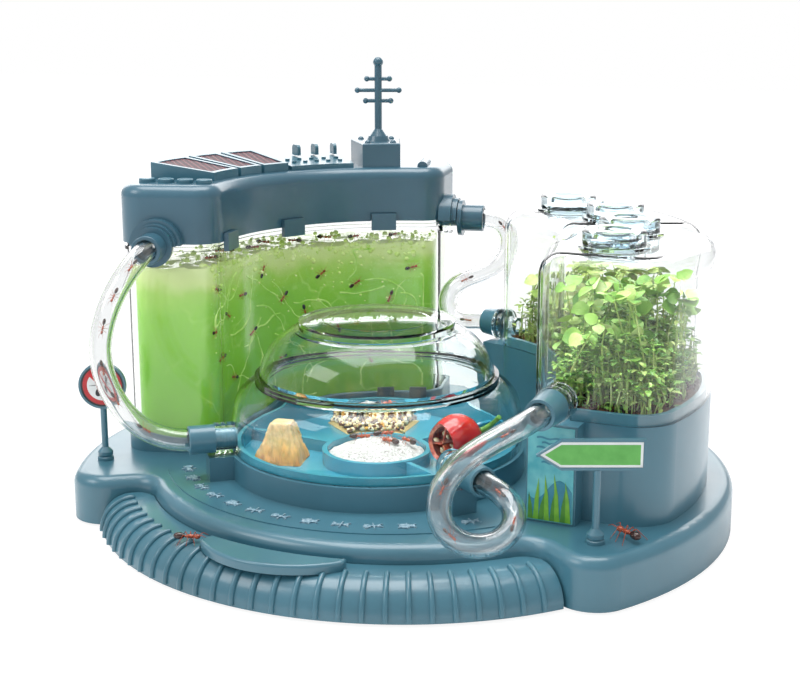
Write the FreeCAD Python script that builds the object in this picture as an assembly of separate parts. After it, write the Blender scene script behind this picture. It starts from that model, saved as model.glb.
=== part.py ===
import FreeCAD, Part
import math
import os
from FreeCAD import Placement, Rotation, Vector

# Ant habitat: a round base with a gel tank, a domed feeding dish and two planted jars, joined by hoses.
# The origin is on the ground at the centre of the round base, +Z is up and the front faces -Y.
# Lengths are in millimetres and angles in degrees, counted from +X towards +Y.

# Fits
FIT_GAP = 0.3
PIN_GAP = 0.08
HOSE_GAP = 0.25

# Base
BASE_RADIUS = 170.0
BASE_TOP = 26.0
BASE_WALL = 2.5
BASE_EDGE_ROUND = 6.0
FOOT_HEIGHT = 1.5
FOOT_RADIUS = 7.0
FOOT_PLACES = ((150.0, -26.0), (150.0, 38.0), (140.0, 90.0), (150.0, 142.0), (150.0, -154.0), (112.0, -90.0))
TERRACE_RADIUS = 130.0
TERRACE_START = -142.0
TERRACE_END = -38.0
NOSE_ROUND = 18.0
NECK_ROUND = 12.0
BACK_ROUND = 14.0
PLATE_THICKNESS = 2.5
SCREW_PLACES = ((154.0, 8.0), (148.0, 60.0), (148.0, 120.0), (154.0, 172.0), (108.0, -62.0), (108.0, -118.0))
SCREW_RADIUS = 1.5
SCREW_LENGTH = 14.0
SCREW_HEAD_RADIUS = 3.0
SCREW_HEAD_HEIGHT = 1.3
BOSS_RADIUS = 4.0

# Ribbed bumper round the front of the base
RAIL_TOP = 18.0
RAIL_LEDGE_RADIUS = 141.0
RAIL_ROUND = 15.5
RAIL_WALL = 2.5
RIB_RADIUS = 1.3
RIB_LIFT = 0.3
RIB_PITCH = 3.7
RIB_PAIRS = 13
RAIL_END_MARGIN = 0.4

# Plain name plaque on the bumper's ledge
PLAQUE_START = -105.0
PLAQUE_END = -75.5
PLAQUE_INNER = 135.5
PLAQUE_BULGE = 153.0
PLAQUE_TOP = 22.5
PLAQUE_ROUND = 1.5

# Row of insect figures on the terrace
ROW_CENTRE = (-6.0, 0.0)
ROW_RADIUS = 106.5
ROW_START = -143.0
ROW_STEP = 8.2
ROW_FIGURES = 13
ROW_EDGE_INNER = 97.5
ROW_EDGE_OUTER = 116.0
ROW_EDGE_WIDTH = 0.8
ROW_EDGE_HEIGHT = 0.5
FIGURE_HEIGHT = 0.6
FIGURE_LENGTH = 11.0

# Domed feeding dish
DOME_X = -7.6
DOME_Y = -14.6
DRUM_RADIUS = 76.0
DRUM_TOP = 38.2
DRUM_WALL = 3.5
DRUM_FLOOR = 2.5
SKIRT_RADIUS = 74.5
SKIRT_WALL = 2.0
SKIRT_SHOULDER = 57.5
RIM_RADIUS = 62.4
RIM_TOP = 73.4
MOUTH_RADIUS = 58.2
LID_SHOULDER_RADIUS = 42.5
LID_SHOULDER = 98.6
LID_DISC_RADIUS = 39.8
LID_DISC_TOP = 102.8
LID_WALL = 2.0
LID_FLANGE = 1.8
LID_TAB_ANGLE = -92.0
LID_TAB_HALF = 9.0
LID_TAB_REACH = 4.2
LID_GROOVE_RADIUS = 27.0
DOME_PORTS = {"left": (-139.5, 13.0), "right": (-36.5, 20.0)}
PORT_HEIGHT = 46.5
PORT_COLLAR_RADIUS = 8.0
PORT_COLLAR_LENGTH = 10.0
PORT_BLOCK_WIDTH = 13.0
PORT_BLOCK_REACH = 12.0

# Tray, dish and food inside the dome
TRAY_FLOOR = 33.0
TRAY_SHEET = 2.5
TRAY_RIM_TOP = 42.0
DISH_RADIUS = 27.5
DISH_TOP = 40.2
DISH_SHIFT_X = 7.2
DISH_SHIFT_Y = -15.4
DIVIDER_THICKNESS = 2.4
DIVIDER_TOP = 39.5
DIVIDER_ANGLES = (175.0, 65.0, -30.0)
SAND_EDGE = 37.8
SAND_PEAK = 44.5

# Gel tank, a ring segment round the back left of the base
TANK_INNER = 97.0
TANK_OUTER = 147.0
TANK_START = 103.0
TANK_END = 199.5
TANK_CORNER = 12.0
TANK_WALL = 2.2
TANK_BOTTOM = 30.0
TANK_FLOOR = 3.0
TANK_RIM = 150.0
TANK_FLANGE_Z = 134.2
TANK_FLANGE_HEIGHT = 2.0
TANK_FLANGE_REACH = 1.4
PLINTH_TOP = 37.0
PLINTH_REACH = 2.6
PLINTH_FLOOR = 4.0
GEL_TOP = 126.0
BASE_CLIP_ANGLES = (121.0, 109.0)

# Lid of the tank
LID_BOTTOM = 138.0
LID_TOP = 168.0
LID_REACH = 2.0
LID_ROUND = 6.0
LID_SHEET = 2.5
LID_SEAT = 1.2
TANK_PORT_RADII = {"left": 127.0, "right": 112.0}
TANK_PORT_HEIGHT = 138.0
SPOUT_RADIUS = 9.0
SPOUT_LENGTH = 6.0
ARCH_RADIUS = 13.5
ARCH_STEP_RADIUS = 11.5
ARCH_LENGTH = 5.0
ARCH_STEP_LENGTH = 3.0
CLIP_ANGLES = (189.5, 155.5, 121.5)
CLIP_WIDTH = 14.0
CLIP_HEIGHT = 9.5
CLIP_BOTTOM = 133.0
CLIP_THICKNESS = 3.0
SOLAR_SPANS = ((173.5, 187.0), (163.2, 172.2), (152.8, 162.0))
SOLAR_INNER = 104.0
SOLAR_OUTER = 141.0
SOLAR_LOW = 4.5
SOLAR_HIGH = 9.0
SOLAR_FRAME = 2.6
CELL_THICKNESS = 1.2
CELL_SUNK = 0.5
BUTTON_ANGLE = 192.6
BUTTON_RADII = (137.0, 126.5, 116.0, 105.5)
BUTTON_RADIUS = 4.3
BUTTON_HEIGHT = 2.2
CONSOLE_SPAN = (130.5, 151.5)
CONSOLE_LOW = 2.5
CONSOLE_HIGH = 5.5
LEVER_ANGLES = (143.0, 138.0, 133.0)
LEVER_RADIUS = 131.0
LEVER_HEIGHT = 6.0
STUD_ROWS = (113.0, 121.0)
STUD_RADIUS = 1.3
ANTENNA_SPAN = (115.6, 127.8)
ANTENNA_INNER = 102.0
ANTENNA_OUTER = 137.0
ANTENNA_BOX_TOP = 181.5
MAST_PLACE = (119.0, 121.7)
MAST_RADIUS = 2.1
MAST_TOP = 226.5
MAST_BALL_RADIUS = 2.9
MAST_PIN_RADIUS = 2.4
MAST_PIN_DEPTH = 9.0
MAST_BAR_DIRECTION = 25.0
MAST_BARS = ((204.5, 14.5), (210.5, 24.0), (217.0, 13.0))
MAST_BAR_RADIUS = 1.1

# Planted jars on their pots
POT_INNER = 80.0
POT_OUTER = 157.0
POT_FLOOR = 3.0
POT_WALL = 2.5
POT_RIM = 73.0
POT_LIP_TOP = 78.0
POT_LIP_WIDTH = 2.5
FRONT_POT_FACE = -51.0
FRONT_POT_LEFT = 90.5
FRONT_POT_BEVEL = -7.0
FRONT_POT_END = 21.5
REAR_POT_START = 26.5
REAR_POT_END = 75.0
POT_CORNER = 14.0
FRONT_POT_CORNER = 22.0
FRONT_POT_LEFT_ROUND = 13.0
JAR_WALL = 2.0
JAR_TOP = 149.0
JAR_ROUND = 11.0
JAR_NOZZLE_HEIGHT = 82.0
JAR_COLLAR_RADIUS = 8.8
JAR_NOZZLES = {"front": ((103.0, -51.0), -90.0, 12.0, 16.0), "rear": ((24.3, 90.8), 165.0, 6.0, 9.5)}
BLOCK_WIDTH = 24.0
BLOCK_DEPTHS = {"front": 10.0, "rear": 9.0}
PANEL_THICKNESS = 0.8
PANEL_MARGIN = 1.0
SOIL_TOP = 75.0
PLANT_TOP = 138.0
PLANT_INSET = 9.0
CAP_PLACES = {"front": ((118.0, -9.0), (114.0, 12.5)), "rear": ((114.0, 37.5), (109.0, 58.5))}
CAP_HOLE_RADIUS = 12.0
CAP_RADIUS = 15.0
CAP_SKIRT_RADIUS = 17.0
CAP_HEIGHT = 7.5
CAP_PLUG_DEPTH = 6.0
CAP_WALL = 1.8
CAP_WELL_RADIUS = 8.0
CAP_WELL_DEPTH = 4.0

# Two signs on posts
SIGN_FACING = -65.0
POST_RADIUS = 1.7
POST_FOOT_RADIUS = 4.2
POST_PIN_RADIUS = 2.0
POST_PIN_DEPTH = 9.0
SOCKET_WALL = 2.2
LEFT_SIGN = (-140.2, -67.8)
LEFT_SIGN_HEIGHT = 66.0
LEFT_SIGN_RADIUS = 12.3
RIGHT_SIGN = (129.6, -76.6)
RIGHT_SIGN_HEIGHT = 67.0
ARROW_LEFT = 27.0
ARROW_RIGHT = 21.0
ARROW_HEIGHT = 14.0
ARROW_POINT = 11.0
SIGN_THICKNESS = 2.4
SIGN_FRAME = 1.1
SIGN_SUNK = 0.5

# Clear hoses, with centre lines chosen by hand
HOSE_RADIUS = 5.5
HOSE_BORE = 4.0
SOCKET_DEPTH = 5.0
NOZZLE_BORE = 3.2
SPIGOT_RADIUS = 4.9
BEND_SHARE = 0.45
HOSES = {
    "hose_tank_to_dome": (
        (-113.14, -60.97, 138), (-109.8, -70.39, 138), (-111.8, -79, 131.5), (-115.3, -87.5, 120.5), (-117.5, -94, 108),
        (-118, -98, 96), (-116.5, -99, 84), (-113, -97, 71.5), (-107, -93, 60), (-98, -88.4, 51.3),
        (-85.54, -81.17, 46.5), (-77.94, -74.67, 46.5)),
    "hose_tank_to_rear_jar": (
        (-6, 113.57, 138), (3.74, 115.82, 138), (11.5, 118, 133), (14.3, 117.6, 122.5), (9.8, 113.5, 112.2),
        (1.5, 108.5, 107), (-7.5, 104.2, 103.8), (-15.3, 101, 98.2), (-18.3, 99.8, 89.6), (-14, 99.6, 81.8),
        (-5.2, 98.6, 80.2), (4.5, 96.11, 82), (14.16, 93.52, 82)),
    "hose_front_jar_to_dome": (
        (103, -74, 82), (103, -84, 82), (98.5, -96, 79.5), (90, -106, 75), (81.5, -115, 68.5), (75.5, -121.5, 59.5),
        (74, -124.5, 48.5), (77.5, -123.5, 38.5), (85.5, -118.5, 31.8), (95, -110, 31), (100, -101, 36),
        (97.5, -92.5, 42.3), (89.2, -86.4, 46), (80.42, -79.73, 46.5), (72.38, -73.79, 46.5)),
}


def polar(radius, degrees, height=0.0, centre=(0.0, 0.0)):
    angle = math.radians(degrees)
    return Vector(centre[0] + radius * math.cos(angle), centre[1] + radius * math.sin(angle), height)


def heading(degrees):
    return polar(1.0, degrees)


def line(start, end):
    return Part.LineSegment(start, end).toShape()


def arc(start, middle, end):
    return Part.Arc(start, middle, end).toShape()


def face_of(edges):
    return Part.Face(Part.Wire(edges))


def prism(face, bottom, top):
    low = face.copy()
    low.translate(Vector(0, 0, bottom))
    return low.extrude(Vector(0, 0, top - bottom))


def cylinder(radius, bottom, top, x=0.0, y=0.0):
    return Part.makeCylinder(radius, top - bottom, Vector(x, y, bottom))


def ring(inner, outer, bottom, top, x=0.0, y=0.0):
    return cylinder(outer, bottom, top, x, y).cut(cylinder(inner, bottom, top, x, y))


def united(shapes):
    shapes = list(shapes)
    return shapes[0].multiFuse(shapes[1:]).removeSplitter() if len(shapes) > 1 else shapes[0]


# A sector of a ring, drawn flat at height zero
def sector_face(inner, outer, start, end, centre=(0.0, 0.0)):
    middle = (start + end) / 2
    return face_of([
        arc(polar(outer, start, 0, centre), polar(outer, middle, 0, centre), polar(outer, end, 0, centre)),
        line(polar(outer, end, 0, centre), polar(inner, end, 0, centre)),
        arc(polar(inner, end, 0, centre), polar(inner, middle, 0, centre), polar(inner, start, 0, centre)),
        line(polar(inner, start, 0, centre), polar(outer, start, 0, centre))])


# A flat outline with rounded corners, each given as a corner point and its radius
def rounded_face(face, corners):
    solid = face.extrude(Vector(0, 0, 1))
    for point, radius in corners:
        edge = min(solid.Edges, key=lambda item: item.CenterOfMass.distanceToPoint(point + Vector(0, 0, 0.5)))
        solid = solid.makeFillet(radius, [edge])
    return min(solid.Faces, key=lambda item: item.CenterOfMass.z)


# How far a side that points at the centre turns when it moves in by an amount
def side_turn(amount, radius):
    return math.degrees(math.asin(amount / radius))


# A ring sector with rounded corners and every side moved in by an amount, or out where it is negative
def inset_sector(inner, outer, start, end, corner, amount):
    near = inner + amount
    far = outer - amount
    far_start = polar(far, start + side_turn(amount, far))
    far_end = polar(far, end - side_turn(amount, far))
    near_start = polar(near, start + side_turn(amount, near))
    near_end = polar(near, end - side_turn(amount, near))
    middle = (start + end) / 2
    face = face_of([
        arc(far_start, polar(far, middle), far_end), line(far_end, near_end),
        arc(near_end, polar(near, middle), near_start), line(near_start, far_start)])
    return rounded_face(face, [(point, corner - amount) for point in (far_start, far_end, near_start, near_end)])


def rounded_prism(face, bottom, top, radius):
    solid = prism(face, bottom, top)
    edges = [edge for edge in solid.Edges if abs(edge.BoundBox.ZMin - top) < 1e-6]
    return solid.makeFillet(radius, edges)


# A turned shape from a radius and height outline, with a pair of points for each arc
def turned(start, steps, degrees=360.0):
    edges = []
    here = Vector(start[0], 0, start[1])
    for step in steps:
        if isinstance(step[0], tuple):
            middle = Vector(step[0][0], 0, step[0][1])
            there = Vector(step[1][0], 0, step[1][1])
            edges.append(arc(here, middle, there))
        else:
            there = Vector(step[0], 0, step[1])
            edges.append(line(here, there))
        here = there
    first = Vector(start[0], 0, start[1])
    if not here.isEqual(first, 1e-6):
        edges.append(line(here, first))
    return face_of(edges).revolve(Vector(0, 0, 0), Vector(0, 0, 1), degrees)


# Turns a shape that was built along +Z to lie level along a heading
def laid_along(shape, origin, degrees):
    shape = shape.copy()
    shape.Placement = Placement(origin, Rotation(Vector(0, 0, 1), heading(degrees))).multiply(shape.Placement)
    return shape


def level_rod(radius, origin, degrees, start, end):
    return laid_along(Part.makeCylinder(radius, end - start, Vector(0, 0, start)), origin, degrees)


# A box set by its middle, its heading across the face, and its reach along that heading
def heading_box(origin, degrees, start, end, width, bottom, top):
    box = Part.makeBox(end - start, width, top - bottom, Vector(start, -width / 2, bottom))
    box.Placement = Placement(Vector(origin.x, origin.y, 0), Rotation(Vector(0, 0, 1), degrees))
    return box


# Base, bumper and terrace


# The base seen from above, with every side moved in by an amount
def base_footprint(amount=0.0):
    outer = BASE_RADIUS - amount
    terrace = TERRACE_RADIUS - amount
    back = rail_front() - amount
    reach = math.sqrt(outer ** 2 - back ** 2)
    right_nose = polar(outer, TERRACE_END + side_turn(amount, outer))
    left_nose = polar(outer, TERRACE_START - side_turn(amount, outer))
    right_neck = polar(terrace, TERRACE_END + side_turn(amount, terrace))
    left_neck = polar(terrace, TERRACE_START - side_turn(amount, terrace))
    right_back = Vector(reach, back, 0)
    left_back = Vector(-reach, back, 0)
    face = face_of([
        line(right_neck, right_nose), arc(right_nose, polar(outer, 0.0), right_back), line(right_back, left_back),
        arc(left_back, polar(outer, 180.0), left_nose), line(left_nose, left_neck),
        arc(left_neck, polar(terrace, -90.0), right_neck)])
    return rounded_face(face, [
        (right_nose, NOSE_ROUND - amount), (left_nose, NOSE_ROUND - amount),
        (right_neck, NECK_ROUND + amount), (left_neck, NECK_ROUND + amount),
        (right_back, BACK_ROUND - amount), (left_back, BACK_ROUND - amount)])


def rail_front():
    return RAIL_LEDGE_RADIUS + RAIL_ROUND + RIB_LIFT + RIB_RADIUS


def plate_top():
    return FOOT_HEIGHT + PLATE_THICKNESS


def base_shell():
    shell = rounded_prism(base_footprint(), FOOT_HEIGHT, BASE_TOP, BASE_EDGE_ROUND)
    under = BASE_TOP - BASE_WALL
    hollow = rounded_prism(base_footprint(BASE_WALL), FOOT_HEIGHT, under, BASE_EDGE_ROUND - BASE_WALL)
    shell = shell.cut(hollow)
    bosses = [cylinder(BOSS_RADIUS, plate_top(), under + BASE_WALL / 2, *polar(*place)[:2]) for place in SCREW_PLACES]
    sockets = [cylinder(POST_PIN_RADIUS + SOCKET_WALL, BASE_TOP - POST_PIN_DEPTH - BASE_WALL, under + BASE_WALL / 2, *place)
               for place in (LEFT_SIGN, RIGHT_SIGN)]
    edges = [prism(sector_face(radius, radius + ROW_EDGE_WIDTH, ROW_START - 4, TERRACE_END - 3, ROW_CENTRE),
                   BASE_TOP - BASE_WALL / 2, BASE_TOP + ROW_EDGE_HEIGHT) for radius in (ROW_EDGE_OUTER,)]
    shell = united([shell] + bosses + sockets + edges)
    for place in SCREW_PLACES:
        shell = shell.cut(cylinder(SCREW_RADIUS, plate_top(), plate_top() + SCREW_LENGTH, *polar(*place)[:2]))
    for place in (LEFT_SIGN, RIGHT_SIGN):
        shell = shell.cut(cylinder(POST_PIN_RADIUS + PIN_GAP, BASE_TOP - POST_PIN_DEPTH - FIT_GAP, BASE_TOP, *place))
    return shell


def base_bottom_plate():
    plate = prism(base_footprint(BASE_WALL + FIT_GAP), FOOT_HEIGHT, plate_top())
    for place in SCREW_PLACES:
        spot = polar(*place)[:2]
        plate = plate.cut(cylinder(SCREW_RADIUS + FIT_GAP, FOOT_HEIGHT, plate_top(), *spot))
        plate = plate.cut(cylinder(SCREW_HEAD_RADIUS + FIT_GAP, FOOT_HEIGHT, FOOT_HEIGHT + SCREW_HEAD_HEIGHT, *spot))
    return plate


def bottom_screws():
    screws = []
    for place in SCREW_PLACES:
        spot = polar(*place)[:2]
        head = cylinder(SCREW_HEAD_RADIUS, FOOT_HEIGHT, FOOT_HEIGHT + SCREW_HEAD_HEIGHT, *spot)
        shank = cylinder(SCREW_RADIUS, FOOT_HEIGHT + SCREW_HEAD_HEIGHT, plate_top() + SCREW_LENGTH - 1, *spot)
        slot = heading_box(Vector(*spot, 0), 45, -SCREW_HEAD_RADIUS * 0.7, SCREW_HEAD_RADIUS * 0.7, 0.8,
                           FOOT_HEIGHT, FOOT_HEIGHT + SCREW_HEAD_HEIGHT / 2)
        screws.append(head.fuse(shank).cut(slot))
    return Part.Compound(screws)


def rubber_feet():
    return Part.Compound([cylinder(FOOT_RADIUS, 0, FOOT_HEIGHT, *polar(*place)[:2]) for place in FOOT_PLACES])


def rail_section(shrink, start, end):
    round_z = RAIL_TOP - RAIL_ROUND
    inner = TERRACE_RADIUS + FIT_GAP + shrink
    radius = RAIL_ROUND - shrink
    diagonal = radius / math.sqrt(2)
    solid = turned((inner, FOOT_HEIGHT), [
        (inner, RAIL_TOP - shrink),
        (RAIL_LEDGE_RADIUS, RAIL_TOP - shrink),
        ((RAIL_LEDGE_RADIUS + diagonal, round_z + diagonal), (RAIL_LEDGE_RADIUS + radius, round_z)),
        (RAIL_LEDGE_RADIUS + radius, FOOT_HEIGHT)], end - start)
    solid.rotate(Vector(0, 0, 0), Vector(0, 0, 1), start)
    return solid


def rail_rib(degrees):
    lift = RAIL_ROUND + RIB_LIFT
    round_z = RAIL_TOP - RAIL_ROUND
    middle = Vector(RAIL_LEDGE_RADIUS, 0, round_z)
    start = middle + Vector(0, 0, lift)
    disc = Part.Face(Part.Wire(Part.makeCircle(RIB_RADIUS, start, Vector(1, 0, 0))))
    rib = disc.revolve(middle, Vector(0, 1, 0), 90)
    rib = rib.fuse(Part.makeSphere(RIB_RADIUS, start))
    rib.rotate(Vector(0, 0, 0), Vector(0, 0, 1), degrees)
    return rib


def plaque_face(grow):
    start = PLAQUE_START - math.degrees(grow / PLAQUE_INNER)
    end = PLAQUE_END + math.degrees(grow / PLAQUE_INNER)
    middle = (start + end) / 2
    left = polar(PLAQUE_INNER - grow, start)
    right = polar(PLAQUE_INNER - grow, end)
    left_tip = polar(PLAQUE_INNER + 8 + grow, start)
    right_tip = polar(PLAQUE_INNER + 4 + grow, end)
    face = face_of([
        arc(left, polar(PLAQUE_INNER - grow, middle), right),
        line(right, right_tip),
        arc(right_tip, polar(PLAQUE_BULGE + grow, middle), left_tip),
        line(left_tip, left)])
    return rounded_face(face, [(left_tip, 4.0), (right_tip, 3.0)])


def ribbed_rail():
    start = TERRACE_START + RAIL_END_MARGIN
    end = TERRACE_END - RAIL_END_MARGIN
    wall_turn = math.degrees(RAIL_WALL / RAIL_LEDGE_RADIUS)
    rail = rail_section(0.0, start, end)
    ribs = [rail_rib(-90.0 + RIB_PITCH * step) for step in range(-RIB_PAIRS, RIB_PAIRS + 1)]
    rail = united([rail] + ribs)
    rail = rail.cut(rail_section(RAIL_WALL, start + wall_turn, end - wall_turn))
    rail = rail.cut(prism(base_footprint(-FIT_GAP), 0, BASE_TOP))
    return rail.cut(prism(plaque_face(FIT_GAP), RAIL_TOP, PLAQUE_TOP))


def name_plaque():
    return rounded_prism(plaque_face(0.0), RAIL_TOP, PLAQUE_TOP, PLAQUE_ROUND)


# A generic insect seen from above, along its own X axis: body parts, then legs bent at the knee
def insect_figure(kind, length):
    low = BASE_TOP
    high = BASE_TOP + FIGURE_HEIGHT
    bodies = (
        ((-0.28, 0.17), (0.0, 0.09), (0.2, 0.11)),
        ((-0.1, 0.24), (0.2, 0.13), (0.2, 0.13)),
        ((-0.3, 0.1), (-0.1, 0.1), (0.22, 0.1)))[kind]
    solids = [cylinder(radius * length, low, high, place * length, 0) for place, radius in bodies]
    solids.append(Part.makeBox(0.6 * length, 0.08 * length, FIGURE_HEIGHT, Vector(-0.32 * length, -0.04 * length, low)))
    for side in (1, -1):
        for root, lean in ((0.1, 35), (0.0, 90), (-0.12, 140)):
            leg = Part.makeBox(0.34 * length, 0.045 * length, FIGURE_HEIGHT, Vector(0, -0.022 * length, low))
            leg.rotate(Vector(0, 0, 0), Vector(0, 0, 1), side * lean)
            leg.translate(Vector(root * length, 0, 0))
            solids.append(leg)
    return united(solids)


def insect_reliefs():
    figures = []
    for step in range(ROW_FIGURES):
        degrees = ROW_START + ROW_STEP * step
        figure = insect_figure(step % 3, FIGURE_LENGTH)
        figure.rotate(Vector(0, 0, 0), Vector(0, 0, 1), degrees + 90 + 12 * (step % 2))
        figure.translate(polar(ROW_RADIUS, degrees, 0, ROW_CENTRE))
        figures.append(figure)
    return Part.Compound(figures)


# Domed feeding dish


def at_dome(shape):
    shape.translate(Vector(DOME_X, DOME_Y, 0))
    return shape


def port_origin(distance, degrees):
    return polar(distance, degrees, PORT_HEIGHT, (DOME_X, DOME_Y))


def dome_drum():
    drum = ring(DRUM_RADIUS - DRUM_WALL, DRUM_RADIUS, BASE_TOP, DRUM_TOP)
    drum = drum.fuse(cylinder(DRUM_RADIUS - DRUM_WALL / 2, BASE_TOP, BASE_TOP + DRUM_FLOOR))
    for degrees, _ in DOME_PORTS.values():
        drum = drum.fuse(heading_box(Vector(0, 0, 0), degrees, DRUM_RADIUS - DRUM_WALL / 2,
                                     DRUM_RADIUS + PORT_BLOCK_REACH, PORT_BLOCK_WIDTH, BASE_TOP, DRUM_TOP))
    return at_dome(drum.removeSplitter())


def feeding_tray():
    outer = SKIRT_RADIUS - SKIRT_WALL - FIT_GAP
    tray = cylinder(outer, TRAY_FLOOR - TRAY_SHEET, TRAY_FLOOR)
    tray = tray.fuse(ring(outer - TRAY_SHEET + 0.5, outer, TRAY_FLOOR - TRAY_SHEET, TRAY_RIM_TOP))
    tray = tray.fuse(ring(outer - 14, outer - 12, BASE_TOP + DRUM_FLOOR, TRAY_FLOOR - TRAY_SHEET / 2))
    dish = ring(DISH_RADIUS - TRAY_SHEET, DISH_RADIUS, TRAY_FLOOR - TRAY_SHEET / 2, DISH_TOP, DISH_SHIFT_X, DISH_SHIFT_Y)
    dividers = [heading_box(Vector(DISH_SHIFT_X, DISH_SHIFT_Y, 0), degrees, DISH_RADIUS - TRAY_SHEET / 2, 2 * outer,
                            DIVIDER_THICKNESS, TRAY_FLOOR - TRAY_SHEET / 2, DIVIDER_TOP) for degrees in DIVIDER_ANGLES]
    dividers = [item.common(cylinder(outer - 0.5, 0, DIVIDER_TOP)) for item in dividers]
    return at_dome(united([tray, dish] + dividers))


def dome_skirt():
    foot = SKIRT_RADIUS - SKIRT_WALL
    skirt = turned((foot, DRUM_TOP), [
        (SKIRT_RADIUS, DRUM_TOP),
        ((SKIRT_RADIUS + 0.7, 48.0), (SKIRT_RADIUS - 0.7, SKIRT_SHOULDER)),
        ((SKIRT_RADIUS - 4.4, 66.8), (RIM_RADIUS, RIM_TOP - SKIRT_WALL)),
        (RIM_RADIUS, RIM_TOP),
        (MOUTH_RADIUS, RIM_TOP),
        (MOUTH_RADIUS, RIM_TOP - SKIRT_WALL),
        (RIM_RADIUS - 1.2, RIM_TOP - SKIRT_WALL - 1.0),
        ((foot - 4.2, 65.6), (foot - 0.7, SKIRT_SHOULDER - 0.6)),
        ((foot + 0.7, 48.0), (foot, DRUM_TOP))])
    start = SKIRT_RADIUS - 0.5
    for degrees, _ in DOME_PORTS.values():
        origin = Vector(0, 0, PORT_HEIGHT)
        skirt = skirt.fuse(level_rod(PORT_COLLAR_RADIUS, origin, degrees, start, SKIRT_RADIUS + PORT_COLLAR_LENGTH))
        for groove in (3.5, 6.5):
            channel = level_rod(PORT_COLLAR_RADIUS + 1, origin, degrees, SKIRT_RADIUS + groove, SKIRT_RADIUS + groove + 1.2)
            channel = channel.cut(level_rod(PORT_COLLAR_RADIUS - 1, origin, degrees, SKIRT_RADIUS, SKIRT_RADIUS + 12))
            skirt = skirt.cut(channel)
        skirt = skirt.cut(level_rod(SPIGOT_RADIUS + FIT_GAP, origin, degrees, 60, SKIRT_RADIUS + PORT_COLLAR_LENGTH + 1))
    return at_dome(skirt)


def dome_lid():
    plug = MOUTH_RADIUS - FIT_GAP
    lid = turned((0, LID_DISC_TOP), [
        (LID_DISC_RADIUS, LID_DISC_TOP),
        (LID_DISC_RADIUS, LID_SHOULDER + 0.6),
        (LID_SHOULDER_RADIUS, LID_SHOULDER),
        ((54.2, 89.5), (RIM_RADIUS - LID_WALL, RIM_TOP + LID_FLANGE)),
        (RIM_RADIUS, RIM_TOP + LID_FLANGE),
        (RIM_RADIUS, RIM_TOP),
        (plug, RIM_TOP),
        (plug, RIM_TOP - 3),
        (plug - LID_WALL, RIM_TOP - 3),
        (plug - LID_WALL, RIM_TOP),
        (RIM_RADIUS - 2 * LID_WALL - 0.4, RIM_TOP + LID_FLANGE + 0.8),
        ((52.4, 88.4), (LID_SHOULDER_RADIUS - 0.9, LID_SHOULDER - LID_WALL)),
        (LID_DISC_RADIUS - LID_WALL, LID_SHOULDER - LID_WALL + 0.6),
        (LID_DISC_RADIUS - LID_WALL, LID_DISC_TOP - LID_WALL),
        (0, LID_DISC_TOP - LID_WALL)])
    tab = sector_face(RIM_RADIUS - LID_WALL, RIM_RADIUS + LID_TAB_REACH, LID_TAB_ANGLE - LID_TAB_HALF, LID_TAB_ANGLE + LID_TAB_HALF)
    tab = rounded_face(tab, [(polar(RIM_RADIUS + LID_TAB_REACH, LID_TAB_ANGLE + side * LID_TAB_HALF), 3.0) for side in (-1, 1)])
    lid = lid.fuse(prism(tab, RIM_TOP, RIM_TOP + LID_FLANGE))
    lid = lid.cut(ring(LID_GROOVE_RADIUS, LID_GROOVE_RADIUS + 0.8, LID_DISC_TOP - 0.5, LID_DISC_TOP))
    return at_dome(lid)


# A hose nozzle built along +Z: its spigot, an optional flange and its barrel with the hose's socket
def nozzle(spigot, barrel, radius, flange=0.0, flange_length=0.0):
    body = cylinder(SPIGOT_RADIUS, -spigot, flange_length + 1)
    body = body.fuse(cylinder(radius, flange_length, flange_length + barrel))
    if flange:
        body = body.fuse(cylinder(flange, 0, flange_length))
    mouth = flange_length + barrel
    rim = [edge for edge in body.Edges if abs(edge.BoundBox.ZMin - mouth) < 1e-6]
    body = body.makeFillet(0.8, rim)
    body = body.cut(cylinder(NOZZLE_BORE, -spigot, mouth))
    return body.cut(cylinder(HOSE_RADIUS + HOSE_GAP, mouth - SOCKET_DEPTH, mouth))


def dome_nozzle(side):
    degrees, barrel = DOME_PORTS[side]
    origin = port_origin(SKIRT_RADIUS + PORT_COLLAR_LENGTH, degrees)
    return laid_along(nozzle(PORT_COLLAR_LENGTH + SKIRT_WALL, barrel, 7.2), origin, degrees)


def sand_fill():
    radius = DISH_RADIUS - TRAY_SHEET - FIT_GAP
    sand = turned((0, TRAY_FLOOR), [
        (radius, TRAY_FLOOR), (radius, SAND_EDGE), (radius * 0.5, SAND_PEAK - 1.5), (0, SAND_PEAK)])
    sand.translate(Vector(DISH_SHIFT_X, DISH_SHIFT_Y, 0))
    return at_dome(sand)


# Seeds heaped along the back of the tray, between two dividers
def seed_heap():
    heap = turned((34.0, TRAY_FLOOR), [(58.0, TRAY_FLOOR), ((46.0, TRAY_FLOOR + 8.0), (34.0, TRAY_FLOOR))], 52.0)
    heap.rotate(Vector(0, 0, 0), Vector(0, 0, 1), 92.0)
    return at_dome(heap)


# A cut piece of soft fruit, wider at its rind
def fruit_wedge():
    low = Part.makePolygon([Vector(-14, -10, 0), Vector(12, -12, 0), Vector(14, 8, 0), Vector(-8, 12, 0), Vector(-14, -10, 0)])
    high = Part.makePolygon([Vector(-5, -4, 25), Vector(6, -5, 25), Vector(7, 4, 25), Vector(-3, 5, 25), Vector(-5, -4, 25)])
    wedge = Part.makeLoft([low, high], True, True)
    wedge.rotate(Vector(0, 0, 0), Vector(0, 0, 1), 20)
    wedge.translate(Vector(-38, -34, TRAY_FLOOR))
    return at_dome(wedge)


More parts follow.
